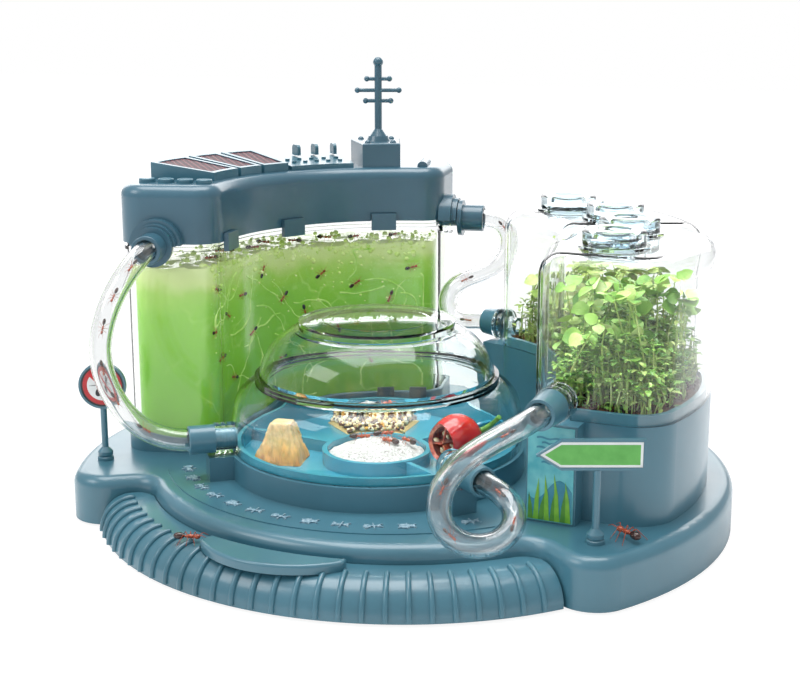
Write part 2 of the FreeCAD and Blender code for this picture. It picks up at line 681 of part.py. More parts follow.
# A cut pepper on its side, with its calyx and curved stem
def pepper():
    body = turned((0, 0), [(9.0, 0), ((12.6, 9), (11.0, 18)), ((8.5, 23.5), (0, 24.5))])
    stem_path = Part.Wire([arc(Vector(0, 0, 24), Vector(-2.5, 0, 29), Vector(-12, 0, 32))])
    stem = stem_path.makePipeShell([Part.Wire(Part.makeCircle(1.3, Vector(0, 0, 24), Vector(0, 0, 1)))], True, False)
    fruit = body.fuse(stem)
    fruit.Placement = Placement(Vector(36, -8, TRAY_FLOOR + 11.9), Rotation(Vector(0, 0, 1), Vector(0.9, 0.32, 0.12)))
    return at_dome(fruit)


# Gel tank


def tank_footprint(amount=0.0):
    return inset_sector(TANK_INNER, TANK_OUTER, TANK_START, TANK_END, TANK_CORNER, amount)


# Where a tank port leaves its end wall, and the way it points
def tank_port(side):
    end = TANK_END if side == "left" else TANK_START
    turn = 90.0 if side == "left" else -90.0
    return polar(TANK_PORT_RADII[side], end, TANK_PORT_HEIGHT), end + turn


def tank_plinth():
    plinth = rounded_prism(tank_footprint(-PLINTH_REACH), BASE_TOP, PLINTH_TOP, 1.0)
    return plinth.cut(prism(tank_footprint(-FIT_GAP), BASE_TOP + PLINTH_FLOOR, PLINTH_TOP))


def tank_shell():
    hollow = prism(tank_footprint(TANK_WALL), TANK_BOTTOM + TANK_FLOOR, TANK_RIM)
    tank = prism(tank_footprint(), TANK_BOTTOM, TANK_RIM)
    tank = tank.fuse(prism(tank_footprint(-TANK_FLANGE_REACH), TANK_FLANGE_Z, TANK_FLANGE_Z + TANK_FLANGE_HEIGHT))
    for side in ("left", "right"):
        origin, degrees = tank_port(side)
        tank = tank.fuse(level_rod(SPOUT_RADIUS, origin, degrees, -TANK_WALL / 2, SPOUT_LENGTH))
    tank = tank.cut(hollow)
    for side in ("left", "right"):
        origin, degrees = tank_port(side)
        tank = tank.cut(level_rod(SPIGOT_RADIUS + FIT_GAP, origin, degrees, -2 * TANK_WALL, SPOUT_LENGTH))
    return tank


def gel_block():
    return prism(tank_footprint(TANK_WALL + FIT_GAP), TANK_BOTTOM + TANK_FLOOR, GEL_TOP)


def tank_base_clips():
    clips = []
    for degrees in BASE_CLIP_ANGLES:
        spot = polar(TANK_INNER - PLINTH_REACH, degrees)
        clip = heading_box(spot, degrees + 180, 0, 3.0, 10.0, BASE_TOP, PLINTH_TOP + 3)
        clips.append(clip.cut(prism(tank_footprint(-PLINTH_REACH - FIT_GAP), BASE_TOP, PLINTH_TOP + 3)))
    return Part.Compound(clips)


def tank_lid():
    lid = rounded_prism(tank_footprint(-LID_REACH), LID_BOTTOM, LID_TOP, LID_ROUND)
    for side in ("left", "right"):
        origin, degrees = tank_port(side)
        arch = level_rod(ARCH_RADIUS, origin, degrees, 0, LID_REACH + ARCH_LENGTH)
        arch = arch.fuse(level_rod(ARCH_STEP_RADIUS, origin, degrees, 0, LID_REACH + ARCH_LENGTH + ARCH_STEP_LENGTH))
        room = 2 * ARCH_RADIUS
        lid = lid.fuse(arch.cut(cylinder(room, LID_BOTTOM - room, LID_BOTTOM, origin.x, origin.y)))
    lid = lid.cut(prism(tank_footprint(-FIT_GAP), LID_BOTTOM, TANK_RIM))
    lid = lid.cut(prism(tank_footprint(LID_SEAT), TANK_RIM, LID_TOP - LID_SHEET))
    for side in ("left", "right"):
        origin, degrees = tank_port(side)
        reach = LID_REACH + ARCH_LENGTH + ARCH_STEP_LENGTH
        lid = lid.cut(level_rod(SPOUT_RADIUS + FIT_GAP, origin, degrees, -TANK_WALL, reach))
    handle = level_rod(3.0, polar(104, 108.6, LID_TOP), 108.6, 0, 22)
    lid = lid.fuse(handle.cut(cylinder(60, LID_TOP - 10, LID_TOP - 0.5, *polar(115, 108.6)[:2])))
    for degrees in CLIP_ANGLES:
        lid = lid.cut(clip_box(degrees, FIT_GAP))
    return lid.removeSplitter()


# A snap clip seated in the lid's inner side wall, hanging over the tank's flange
def clip_box(degrees, grow):
    spot = polar(TANK_INNER - LID_REACH, degrees)
    return heading_box(spot, degrees + 180, -1.0 - grow, CLIP_THICKNESS, CLIP_WIDTH + 2 * grow, CLIP_BOTTOM, CLIP_BOTTOM + CLIP_HEIGHT + grow)


def tank_lid_clips():
    clips = []
    for degrees in CLIP_ANGLES:
        clip = clip_box(degrees, 0.0)
        keep_out = prism(tank_footprint(-LID_REACH), CLIP_BOTTOM, LID_BOTTOM)
        clips.append(clip.cut(keep_out))
    return Part.Compound(clips)


def tank_nozzle(side):
    origin, degrees = tank_port(side)
    reach = LID_REACH + ARCH_LENGTH + ARCH_STEP_LENGTH + FIT_GAP
    return laid_along(nozzle(reach + 3, 12.0, 7.6, 10.3, 2.4), origin + heading(degrees) * reach, degrees)


# A block whose top slopes down towards the middle of the base
def sloping_block(inner, outer, span, low, high, margin=0.0, lift=0.0, bottom=0.0):
    middle = math.radians((span[0] + span[1]) / 2)
    along = Vector(math.cos(middle), math.sin(middle), 0)
    across = Vector(-math.sin(middle), math.cos(middle), 0)
    width = 2 * outer * math.sin(math.radians(span[1] - span[0]) / 2) + 20
    corners = []
    for radius, height in ((0.8 * inner, bottom), (1.1 * outer, bottom), (1.1 * outer, None), (0.8 * inner, None)):
        slope = low + (high - low) * (radius - inner) / (outer - inner) + lift
        corners.append(along * radius + Vector(0, 0, LID_TOP + (slope if height is None else height)) - across * width / 2)
    face = Part.Face(Part.makePolygon(corners + [corners[0]]))
    slab = face.extrude(across * width)
    margin_turn = math.degrees(margin / ((inner + outer) / 2))
    outline = sector_face(inner + margin, outer - margin, span[0] + margin_turn, span[1] - margin_turn)
    return slab.common(prism(outline, LID_TOP + bottom, LID_TOP + high + 10))


def solar_cell(index):
    span = SOLAR_SPANS[index]
    whole = sloping_block(SOLAR_INNER, SOLAR_OUTER, span, SOLAR_LOW, SOLAR_HIGH, SOLAR_FRAME, -CELL_SUNK)
    below = sloping_block(SOLAR_INNER, SOLAR_OUTER, span, SOLAR_LOW, SOLAR_HIGH, 0, -CELL_SUNK - CELL_THICKNESS)
    return whole.cut(below)


def solar_housing(index):
    span = SOLAR_SPANS[index]
    block = sloping_block(SOLAR_INNER, SOLAR_OUTER, span, SOLAR_LOW, SOLAR_HIGH)
    pocket = sloping_block(SOLAR_INNER, SOLAR_OUTER, span, SOLAR_LOW, SOLAR_HIGH, SOLAR_FRAME - 0.1, 1.0)
    below = sloping_block(SOLAR_INNER, SOLAR_OUTER, span, SOLAR_LOW, SOLAR_HIGH, 0, -CELL_SUNK - CELL_THICKNESS)
    return block.cut(pocket.cut(below))


def lid_buttons():
    buttons = []
    for radius in BUTTON_RADII:
        spot = polar(radius, BUTTON_ANGLE)
        button = cylinder(BUTTON_RADIUS, LID_TOP, LID_TOP + BUTTON_HEIGHT, spot.x, spot.y)
        rim = [edge for edge in button.Edges if abs(edge.BoundBox.ZMin - LID_TOP - BUTTON_HEIGHT) < 1e-6]
        buttons.append(button.makeFillet(0.8, rim))
    return Part.Compound(buttons)


def control_console():
    block = sloping_block(SOLAR_INNER, SOLAR_OUTER, CONSOLE_SPAN, CONSOLE_LOW, CONSOLE_HIGH)
    studs = []
    for radius in STUD_ROWS:
        for step in range(5):
            degrees = CONSOLE_SPAN[0] + 3.0 + 3.6 * step
            height = CONSOLE_LOW + (CONSOLE_HIGH - CONSOLE_LOW) * (radius - SOLAR_INNER) / (SOLAR_OUTER - SOLAR_INNER)
            spot = polar(radius, degrees)
            studs.append(cylinder(STUD_RADIUS, LID_TOP + 1, LID_TOP + height + 0.9, spot.x, spot.y))
    return united([block] + studs)


def control_levers():
    levers = []
    slope = (CONSOLE_HIGH - CONSOLE_LOW) / (SOLAR_OUTER - SOLAR_INNER)
    foot = LID_TOP + CONSOLE_LOW + slope * (LEVER_RADIUS - SOLAR_INNER) + 0.8
    for degrees in LEVER_ANGLES:
        lever = heading_box(polar(LEVER_RADIUS, degrees), degrees, -4.0, 4.0, 2.0, foot, foot + LEVER_HEIGHT)
        tall = [edge for edge in lever.Edges if abs(edge.BoundBox.ZMin - foot - LEVER_HEIGHT) < 1e-6 and edge.Length < 3]
        levers.append(lever.makeFillet(2.5, tall))
    return Part.Compound(levers)


def antenna_box():
    face = sector_face(ANTENNA_INNER, ANTENNA_OUTER, *ANTENNA_SPAN)
    box = rounded_prism(face, LID_TOP, ANTENNA_BOX_TOP, 1.2)
    inner_turn = 2.2
    for radius in (ANTENNA_INNER + 5, ANTENNA_OUTER - 5):
        for degrees in (ANTENNA_SPAN[0] + inner_turn, ANTENNA_SPAN[1] - inner_turn):
            box = box.fuse(Part.makeSphere(1.9, polar(radius, degrees, ANTENNA_BOX_TOP - 0.3)))
    hole = polar(*MAST_PLACE)
    box = box.fuse(Part.makeCone(7.0, 5.6, 3.0, Vector(hole.x, hole.y, ANTENNA_BOX_TOP)))
    top = ANTENNA_BOX_TOP + 3.0
    return box.cut(cylinder(MAST_PIN_RADIUS + PIN_GAP, top - MAST_PIN_DEPTH - FIT_GAP, top, hole.x, hole.y)).removeSplitter()


def antenna_mast():
    hole = polar(*MAST_PLACE)
    foot = ANTENNA_BOX_TOP + 3.0
    mast = cylinder(MAST_PIN_RADIUS, foot - MAST_PIN_DEPTH, foot + 1)
    mast = mast.fuse(Part.makeCone(5.0, MAST_RADIUS, 4.0, Vector(0, 0, foot)))
    mast = mast.fuse(cylinder(MAST_RADIUS, foot + 1, MAST_TOP))
    mast = mast.fuse(Part.makeSphere(MAST_BALL_RADIUS, Vector(0, 0, MAST_TOP)))
    for height, length in MAST_BARS:
        middle = Vector(0, 0, height)
        mast = mast.fuse(level_rod(MAST_BAR_RADIUS, middle, MAST_BAR_DIRECTION, -length / 2, length / 2))
        for side in (-1, 1):
            mast = mast.fuse(Part.makeSphere(1.5 * MAST_BAR_RADIUS, middle + heading(MAST_BAR_DIRECTION) * (side * length / 2)))
    mast.translate(Vector(hole.x, hole.y, 0))
    return mast.removeSplitter()


# Pots, jars and plants


# A pot seen from above; the front one has a level front face and a bevel beside the dome
def pot_footprint(side, amount=0.0):
    if side == "rear":
        return inset_sector(POT_INNER, POT_OUTER, REAR_POT_START, REAR_POT_END, POT_CORNER, amount)
    near = POT_INNER + amount
    far = POT_OUTER - amount
    front = FRONT_POT_FACE + amount
    bevel_foot = polar(POT_INNER, FRONT_POT_BEVEL)
    corner = Vector(FRONT_POT_LEFT, FRONT_POT_FACE, 0)
    along = (bevel_foot - corner).normalize()
    start = corner + Vector(along.y, -along.x, 0) * amount
    left = start + along * ((front - start.y) / along.y)
    nearest = start.dot(along)
    bevel = start + along * (-nearest - math.sqrt(nearest ** 2 - start.dot(start) + near ** 2))
    if bevel.y < left.y:
        bevel = start + along * (-nearest + math.sqrt(nearest ** 2 - start.dot(start) + near ** 2))
    right = Vector(math.sqrt(far ** 2 - front ** 2), front, 0)
    far_end = polar(far, FRONT_POT_END - side_turn(amount, far))
    near_end = polar(near, FRONT_POT_END - side_turn(amount, near))
    face = face_of([
        line(left, right), arc(right, polar(far, 0.0), far_end), line(far_end, near_end),
        arc(near_end, polar(near, (FRONT_POT_BEVEL + FRONT_POT_END) / 2), bevel), line(bevel, left)])
    return rounded_face(face, [
        (left, FRONT_POT_LEFT_ROUND - amount), (right, FRONT_POT_CORNER - amount),
        (far_end, POT_CORNER - amount), (near_end, POT_CORNER - amount)])


def nozzle_base(side):
    place, degrees, collar, barrel = JAR_NOZZLES[side]
    return Vector(place[0], place[1], JAR_NOZZLE_HEIGHT), degrees, collar, barrel


def lip_inset():
    return JAR_WALL + FIT_GAP


def pot(side):
    origin, degrees, _, _ = nozzle_base(side)
    body = prism(pot_footprint(side), BASE_TOP, POT_RIM)
    body = body.fuse(prism(pot_footprint(side, lip_inset()), BASE_TOP, POT_LIP_TOP))
    body = body.fuse(heading_box(origin, degrees, -6.0, BLOCK_DEPTHS[side], BLOCK_WIDTH, BASE_TOP, POT_RIM))
    body = body.cut(prism(pot_footprint(side, POT_WALL), BASE_TOP + POT_FLOOR, POT_RIM - 4))
    body = body.cut(prism(pot_footprint(side, lip_inset() + POT_LIP_WIDTH), BASE_TOP + POT_FLOOR, POT_LIP_TOP))
    body = body.cut(level_rod(SPIGOT_RADIUS + FIT_GAP, origin, degrees, -12, JAR_WALL))
    return body.removeSplitter()


def soil(side):
    gap = 0.2
    low = prism(pot_footprint(side, POT_WALL + gap), BASE_TOP + POT_FLOOR, POT_RIM - 4 - gap)
    return low.fuse(prism(pot_footprint(side, lip_inset() + POT_LIP_WIDTH + gap), BASE_TOP + POT_FLOOR, SOIL_TOP)).removeSplitter()


def plants(side):
    return rounded_prism(pot_footprint(side, PLANT_INSET), SOIL_TOP, PLANT_TOP, 10.0)


def jar(side):
    body = rounded_prism(pot_footprint(side), POT_RIM, JAR_TOP, JAR_ROUND)
    hollow = rounded_prism(pot_footprint(side, JAR_WALL), POT_RIM, JAR_TOP - JAR_WALL, JAR_ROUND - JAR_WALL)
    body = body.cut(hollow)
    for place in CAP_PLACES[side]:
        spot = polar(*place)
        body = body.fuse(ring(CAP_HOLE_RADIUS, CAP_SKIRT_RADIUS, JAR_TOP - JAR_WALL, JAR_TOP + 1.2, spot.x, spot.y))
        body = body.cut(cylinder(CAP_HOLE_RADIUS, JAR_TOP - JAR_ROUND, JAR_TOP + 2, spot.x, spot.y))
    origin, degrees, _, _ = nozzle_base(side)
    room = SPIGOT_RADIUS + FIT_GAP
    body = body.cut(level_rod(room, origin, degrees, -10, JAR_WALL))
    slot = heading_box(origin, degrees, -10, JAR_WALL, 2 * room, POT_RIM - 1, JAR_NOZZLE_HEIGHT)
    return body.cut(slot).removeSplitter()


def jar_cap(side, index):
    spot = polar(*CAP_PLACES[side][index])
    seat = JAR_TOP + 1.2
    top = seat + CAP_HEIGHT
    plug = CAP_HOLE_RADIUS - FIT_GAP
    well = top - CAP_WELL_DEPTH
    cap = turned((0, well), [
        (CAP_WELL_RADIUS, well), (CAP_WELL_RADIUS, top), (CAP_RADIUS - 2, top),
        ((CAP_RADIUS - 0.6, top - 0.6), (CAP_RADIUS, top - 2)),
        (CAP_RADIUS, seat), (plug, seat), (plug, seat - CAP_PLUG_DEPTH), (plug - CAP_WALL, seat - CAP_PLUG_DEPTH),
        (plug - CAP_WALL, well - CAP_WALL), (0, well - CAP_WALL)])
    cap.translate(Vector(spot.x, spot.y, 0))
    return cap


def jar_collar(side):
    origin, degrees, length, _ = nozzle_base(side)
    collar = cylinder(SPIGOT_RADIUS, -7.0, 1.0).fuse(cylinder(JAR_COLLAR_RADIUS, FIT_GAP, length))
    grooves = 3 if length > 8 else 1
    for step in range(grooves):
        start = 2.6 + 3.2 * step
        collar = collar.cut(ring(JAR_COLLAR_RADIUS - 1.2, JAR_COLLAR_RADIUS + 1, start, start + 1.4))
    collar = collar.cut(cylinder(NOZZLE_BORE, -7.0, length))
    return laid_along(collar, origin, degrees)


def jar_nozzle(side):
    origin, degrees, length, barrel = nozzle_base(side)
    body = Part.makeCone(8.2, 7.2, barrel, Vector(0, 0, length))
    body = body.cut(cylinder(NOZZLE_BORE, length, length + barrel))
    body = body.cut(cylinder(HOSE_RADIUS + HOSE_GAP, length + barrel - SOCKET_DEPTH, length + barrel))
    return laid_along(body, origin, degrees)


def pot_picture_panel():
    origin, degrees, _, _ = nozzle_base("front")
    depth = BLOCK_DEPTHS["front"]
    return heading_box(origin, degrees, depth, depth + PANEL_THICKNESS, BLOCK_WIDTH - 2 * PANEL_MARGIN,
                       BASE_TOP + PANEL_MARGIN, POT_RIM - PANEL_MARGIN)


# Signs


def sign_post(place, top):
    post = turned((0, BASE_TOP - POST_PIN_DEPTH), [
        (POST_PIN_RADIUS, BASE_TOP - POST_PIN_DEPTH), (POST_PIN_RADIUS, BASE_TOP),
        (POST_FOOT_RADIUS, BASE_TOP), (POST_FOOT_RADIUS, BASE_TOP + 1.6), (POST_FOOT_RADIUS - 0.8, BASE_TOP + 2.2),
        (POST_FOOT_RADIUS - 0.3, BASE_TOP + 2.8), (POST_FOOT_RADIUS - 0.3, BASE_TOP + 4.6),
        (POST_RADIUS, BASE_TOP + 7.0), (POST_RADIUS, top), (0, top)])
    post.translate(Vector(place[0], place[1], 0))
    return post


# A sign face built upright in its own frame, facing +X, then turned to its heading
def stand_sign(shape, place, height):
    shape.Placement = Placement(Vector(place[0], place[1], height), Rotation(Vector(0, 0, 1), SIGN_FACING))
    return shape


def left_sign_plate():
    half = SIGN_THICKNESS / 2
    plate = Part.makeCylinder(LEFT_SIGN_RADIUS, SIGN_THICKNESS, Vector(-half, 0, 0), Vector(1, 0, 0))
    plate = plate.cut(Part.makeCylinder(LEFT_SIGN_RADIUS - SIGN_FRAME, SIGN_SUNK, Vector(half - SIGN_SUNK, 0, 0), Vector(1, 0, 0)))
    return stand_sign(plate, LEFT_SIGN, LEFT_SIGN_HEIGHT)


def arrow_outline(shrink, x):
    half = ARROW_HEIGHT / 2 - shrink
    tip = ARROW_LEFT - 1.35 * shrink
    shoulder = ARROW_LEFT - ARROW_POINT
    tail = ARROW_RIGHT - shrink
    points = [(-tip, 0), (-shoulder, -half), (tail, -half), (tail, half), (-shoulder, half)]
    corners = [Vector(x, across, height) for across, height in points]
    return Part.Face(Part.makePolygon(corners + [corners[0]]))


def right_sign_plate():
    half = SIGN_THICKNESS / 2
    plate = arrow_outline(0.0, -half).extrude(Vector(SIGN_THICKNESS, 0, 0))
    plate = plate.cut(arrow_outline(SIGN_FRAME, half - SIGN_SUNK).extrude(Vector(SIGN_SUNK, 0, 0)))
    return stand_sign(plate, RIGHT_SIGN, RIGHT_SIGN_HEIGHT)


# Straight runs joined by tangent arcs, each as large as its two runs allow
def hose_path(points):
    corners = [Vector(*point) for point in points]
    edges = []
    radii = []
    here = corners[0]
    for before, corner, after in zip(corners, corners[1:], corners[2:]):
        arriving = (corner - before)
        leaving = (after - corner)
        reach = BEND_SHARE * min(arriving.Length, leaving.Length)
        arriving.normalize()
        leaving.normalize()
        turn = arriving.getAngle(leaving)
        radius = reach / math.tan(turn / 2)
        radii.append(radius)
        start = corner - arriving * reach
        end = corner + leaving * reach
        inward = (leaving - arriving).normalize()
        centre = corner + inward * (radius / math.cos(turn / 2))
        edges.append(line(here, start))
        edges.append(arc(start, centre - inward * radius, end))
        here = end
    edges.append(line(here, corners[-1]))
    return Part.Wire(edges), radii


def hose(name):
    path, radii = hose_path(HOSES[name])
    start = Vector(*HOSES[name][0])
    along = Vector(*HOSES[name][1]) - start
    outer = path.makePipeShell([Part.Wire(Part.makeCircle(HOSE_RADIUS, start, along))], True, False)
    inner = path.makePipeShell([Part.Wire(Part.makeCircle(HOSE_BORE, start, along))], True, False)
    tube = outer.cut(inner)
    expected = math.pi * (HOSE_RADIUS ** 2 - HOSE_BORE ** 2) * path.Length
    print(name, "length", round(path.Length, 1), "radii", [round(radius, 1) for radius in radii],
          "volume ratio", round(tube.Volume / expected, 4))
    return tube


def all_nodes():
    nodes = {
        "base_shell": base_shell(), "base_bottom_plate": base_bottom_plate(), "bottom_screws": bottom_screws(),
        "rubber_feet": rubber_feet(), "ribbed_rail": ribbed_rail(), "name_plaque": name_plaque(),
        "insect_reliefs": insect_reliefs(), "dome_drum": dome_drum(), "feeding_tray": feeding_tray(),
        "dome_skirt": dome_skirt(), "dome_lid": dome_lid(), "dome_nozzle_left": dome_nozzle("left"),
        "dome_nozzle_right": dome_nozzle("right"), "sand_fill": sand_fill(), "seed_heap": seed_heap(),
        "fruit_wedge": fruit_wedge(), "pepper": pepper(), "tank_plinth": tank_plinth(), "tank_shell": tank_shell(),
        "gel_block": gel_block(), "tank_base_clips": tank_base_clips(), "tank_lid": tank_lid(),
        "tank_lid_clips": tank_lid_clips(), "tank_nozzle_left": tank_nozzle("left"),
        "tank_nozzle_right": tank_nozzle("right"), "lid_buttons": lid_buttons(), "control_console": control_console(),
        "control_levers": control_levers(), "antenna_box": antenna_box(), "antenna_mast": antenna_mast(),
        "pot_picture_panel": pot_picture_panel(),
        "left_sign_post": sign_post(LEFT_SIGN, LEFT_SIGN_HEIGHT - LEFT_SIGN_RADIUS), "left_sign_plate": left_sign_plate(),
        "right_sign_post": sign_post(RIGHT_SIGN, RIGHT_SIGN_HEIGHT - ARROW_HEIGHT / 2), "right_sign_plate": right_sign_plate()}
    for index in range(len(SOLAR_SPANS)):
        nodes[f"solar_housing_{index + 1}"] = solar_housing(index)
        nodes[f"solar_cell_{index + 1}"] = solar_cell(index)
    for side in ("front", "rear"):
        nodes[f"{side}_pot"] = pot(side)
        nodes[f"{side}_soil"] = soil(side)
        nodes[f"{side}_plants"] = plants(side)
        nodes[f"{side}_jar"] = jar(side)
        nodes[f"{side}_jar_collar"] = jar_collar(side)
        nodes[f"{side}_jar_nozzle"] = jar_nozzle(side)
        for index in range(len(CAP_PLACES[side])):
            nodes[f"{side}_jar_cap_{index + 1}"] = jar_cap(side, index)
    for name in HOSES:
        nodes[name] = hose(name)
    return nodes


os.makedirs("parts", exist_ok=True)
for name, shape in all_nodes().items():
    if not shape.isValid() or not shape.Solids:
        print("faulty shape", name)
    shape.exportStep(f"parts/{name}.step")
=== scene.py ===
# Ant habitat: moulded blue base, gel tank, domed feeding dish, two planted jars and the hoses between them
import math
import random

import bmesh
import bpy
from mathutils import Matrix, Vector, noise


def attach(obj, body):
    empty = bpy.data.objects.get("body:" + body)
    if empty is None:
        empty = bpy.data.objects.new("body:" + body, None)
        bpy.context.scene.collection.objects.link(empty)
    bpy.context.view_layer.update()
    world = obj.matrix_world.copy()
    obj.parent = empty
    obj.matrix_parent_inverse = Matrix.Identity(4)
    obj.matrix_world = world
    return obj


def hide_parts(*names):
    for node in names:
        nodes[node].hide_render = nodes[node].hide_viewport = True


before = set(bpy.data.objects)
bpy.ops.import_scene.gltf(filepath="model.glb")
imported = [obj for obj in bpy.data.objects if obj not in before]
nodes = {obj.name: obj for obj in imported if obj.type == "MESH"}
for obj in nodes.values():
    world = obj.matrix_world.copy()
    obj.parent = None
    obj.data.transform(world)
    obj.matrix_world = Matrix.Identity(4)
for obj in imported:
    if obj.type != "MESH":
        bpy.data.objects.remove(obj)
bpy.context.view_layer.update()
dice = random.Random(11)
mm = 0.001
print("frame loaded,", len(nodes), "nodes")


# small helpers


def deselectAll():
    if bpy.context.mode != "OBJECT":
        bpy.ops.object.mode_set(mode="OBJECT")
    bpy.ops.object.select_all(action="DESELECT")


def selectOnly(piece):
    deselectAll()
    piece.select_set(True)
    bpy.context.view_layer.objects.active = piece


def nameActive(name):
    piece = bpy.context.active_object
    piece.name = name
    piece.data.name = name
    return piece


def editAll(piece):  # edit mode with everything selected
    selectOnly(piece)
    bpy.ops.object.mode_set(mode="EDIT")
    bpy.ops.mesh.select_all(action="SELECT")


def editFaces(piece, test):  # edit mode with only the faces that pass a test
    selectOnly(piece)
    bpy.ops.object.mode_set(mode="EDIT")
    bpy.ops.mesh.select_mode(type="FACE")
    bpy.ops.mesh.select_all(action="DESELECT")
    bpy.ops.object.mode_set(mode="OBJECT")
    for face in piece.data.polygons:
        face.select = test(face)
    bpy.ops.object.mode_set(mode="EDIT")


def applyModifiers(piece):
    selectOnly(piece)
    for modifier in list(piece.modifiers):
        bpy.ops.object.modifier_apply(modifier=modifier.name)


def settle(piece, angle=40):  # place goes into the mesh, shading goes smooth
    selectOnly(piece)
    bpy.ops.object.transform_apply(location=True, rotation=True, scale=True)
    bpy.ops.object.shade_smooth_by_angle(angle=math.radians(angle))
    return piece


def joinPieces(pieces, name):
    deselectAll()
    for piece in pieces:
        piece.select_set(True)
    bpy.context.view_layer.objects.active = pieces[0]
    if len(pieces) > 1:
        bpy.ops.object.join()
    return nameActive(name)


def addObject(name, data):
    piece = bpy.data.objects.new(name, data)
    bpy.context.scene.collection.objects.link(piece)
    return piece


def softCurve(name, spots, resolution):  # spots in metres
    curve = bpy.data.curves.new(name, "CURVE")
    curve.dimensions = "3D"
    spline = curve.splines.new("NURBS")
    spline.points.add(len(spots) - 1)
    for point, spot in zip(spline.points, spots):
        point.co = (*spot, 1.0)
    spline.order_u = 3
    spline.use_endpoint_u = True
    curve.resolution_u = resolution
    return curve


def copyOfNode(nodeName, name):  # merged copy of a frame node, ready to be reshaped
    piece = addObject(name, nodes[nodeName].data.copy())
    piece.data.materials.clear()
    editAll(piece)
    bpy.ops.mesh.remove_doubles(threshold=0.00001)
    bpy.ops.mesh.normals_make_consistent(inside=False)
    bpy.ops.object.mode_set(mode="OBJECT")
    return piece


def remesh(piece, voxel):
    modifier = piece.modifiers.new("voxels", "REMESH")
    modifier.mode = "VOXEL"
    modifier.voxel_size = voxel
    applyModifiers(piece)


def gatherCopies(name, model, places):  # one mesh from many placed copies of a small model
    gathered = bmesh.new()
    for place, tone in places:
        part = model.data.copy()
        part.transform(place)
        if tone is not None:
            for face in part.polygons:
                face.material_index = tone
        gathered.from_mesh(part)
        bpy.data.meshes.remove(part)
    mesh = bpy.data.meshes.new(name)
    gathered.to_mesh(mesh)
    gathered.free()
    piece = addObject(name, mesh)
    for material in model.data.materials:
        mesh.materials.append(material)
    return settle(piece, 60)


def discard(piece):
    bpy.data.objects.remove(piece, do_unlink=True)


def polar(radius, degrees, height=0.0, centre=(0.0, 0.0)):  # millimetres in, metres out
    turn = math.radians(degrees)
    return Vector((centre[0] + radius * math.cos(turn), centre[1] + radius * math.sin(turn), height)) * mm


def placed(spot, rotation=None, scale=1.0):
    turn = rotation.to_4x4() if rotation is not None else Matrix.Identity(4)
    size = Vector((scale, scale, scale)) if isinstance(scale, (int, float)) else Vector(scale)
    return Matrix.Translation(spot) @ turn @ Matrix.Diagonal(size).to_4x4()


def facing(normal, spin=0.0):  # turns +Z to a normal, spun about it
    return Vector(normal).to_track_quat("Z", "Y").to_matrix() @ Matrix.Rotation(spin, 3, "Z")


def rod(start, end, radius, sides=6, endRadius=None):
    start, end = Vector(start), Vector(end)
    along = end - start
    bpy.ops.mesh.primitive_cone_add(
        vertices=sides, radius1=radius, radius2=radius if endRadius is None else endRadius,
        depth=along.length, location=(start + end) / 2, rotation=along.to_track_quat("Z", "Y").to_euler())
    return bpy.context.active_object


# materials


def linearHex(text, alpha=1.0):
    values = [int(text[i:i + 2], 16) / 255 for i in (1, 3, 5)]
    return [v / 12.92 if v <= 0.04045 else ((v + 0.055) / 1.055) ** 2.4 for v in values] + [alpha]


def addNode(tree, kind, feeds=None, stops=None, **settings):
    node = tree.nodes.new("ShaderNode" + kind)
    for key, value in settings.items():
        setattr(node, key, value)
    if stops:
        ramp = node.color_ramp
        ramp.elements.remove(ramp.elements[1])
        ramp.elements[0].position, ramp.elements[0].color = stops[0][0], linearHex(stops[0][1])
        for place, tone in stops[1:]:
            ramp.elements.new(place).color = linearHex(tone)
    for name, value in (feeds or {}).items():
        socket = node.inputs[name]
        if isinstance(value, bpy.types.NodeSocket):
            tree.links.new(value, socket)
        else:
            socket.default_value = value
    return node


def newMaterial(name, **shaderFeeds):
    material = bpy.data.materials.new(name)
    material.use_nodes = True
    tree = material.node_tree
    tree.nodes.clear()
    shader = addNode(tree, "BsdfPrincipled")
    out = addNode(tree, "OutputMaterial")
    tree.links.new(shader.outputs["BSDF"], out.inputs["Surface"])
    for key, value in shaderFeeds.items():
        shader.inputs[key.replace("_", " ")].default_value = value
    spots = addNode(tree, "TexCoord").outputs["Object"]
    return material, tree, shader, spots


def mottledSurface(name, stops, mottle, relief=None, wear=None, paintedGlow=False, **shaderFeeds):
    # mottle: scale, detail, distortion; relief: scale, detail, strength, distance; wear: scale, low, high
    material, tree, shader, spots = newMaterial(name, **shaderFeeds)
    cloud = addNode(tree, "TexNoise", {
        "Vector": spots, "Scale": mottle[0], "Detail": mottle[1], "Distortion": mottle[2]})
    tone = addNode(tree, "ValToRGB", {"Fac": cloud.outputs["Fac"]}, stops)
    tree.links.new(tone.outputs["Color"], shader.inputs["Base Color"])
    # painted glow: the tone also feeds the emission, so the surface shines though it is no lamp
    if paintedGlow:
        tree.links.new(tone.outputs["Color"], shader.inputs["Emission Color"])
    if wear:
        rub = addNode(tree, "TexNoise", {"Vector": spots, "Scale": wear[0], "Detail": 3.0})
        polish = addNode(tree, "MapRange", {
            "Value": rub.outputs["Fac"], "To Min": wear[1], "To Max": wear[2]})
        tree.links.new(polish.outputs["Result"], shader.inputs["Roughness"])
    if relief:
        scale, detail, strength, distance = relief
        grain = addNode(tree, "TexNoise", {"Vector": spots, "Scale": scale, "Detail": detail})
        raised = addNode(tree, "Bump", {
            "Height": grain.outputs["Fac"], "Strength": strength, "Distance": distance})
        tree.links.new(raised.outputs["Normal"], shader.inputs["Normal"])
    return material


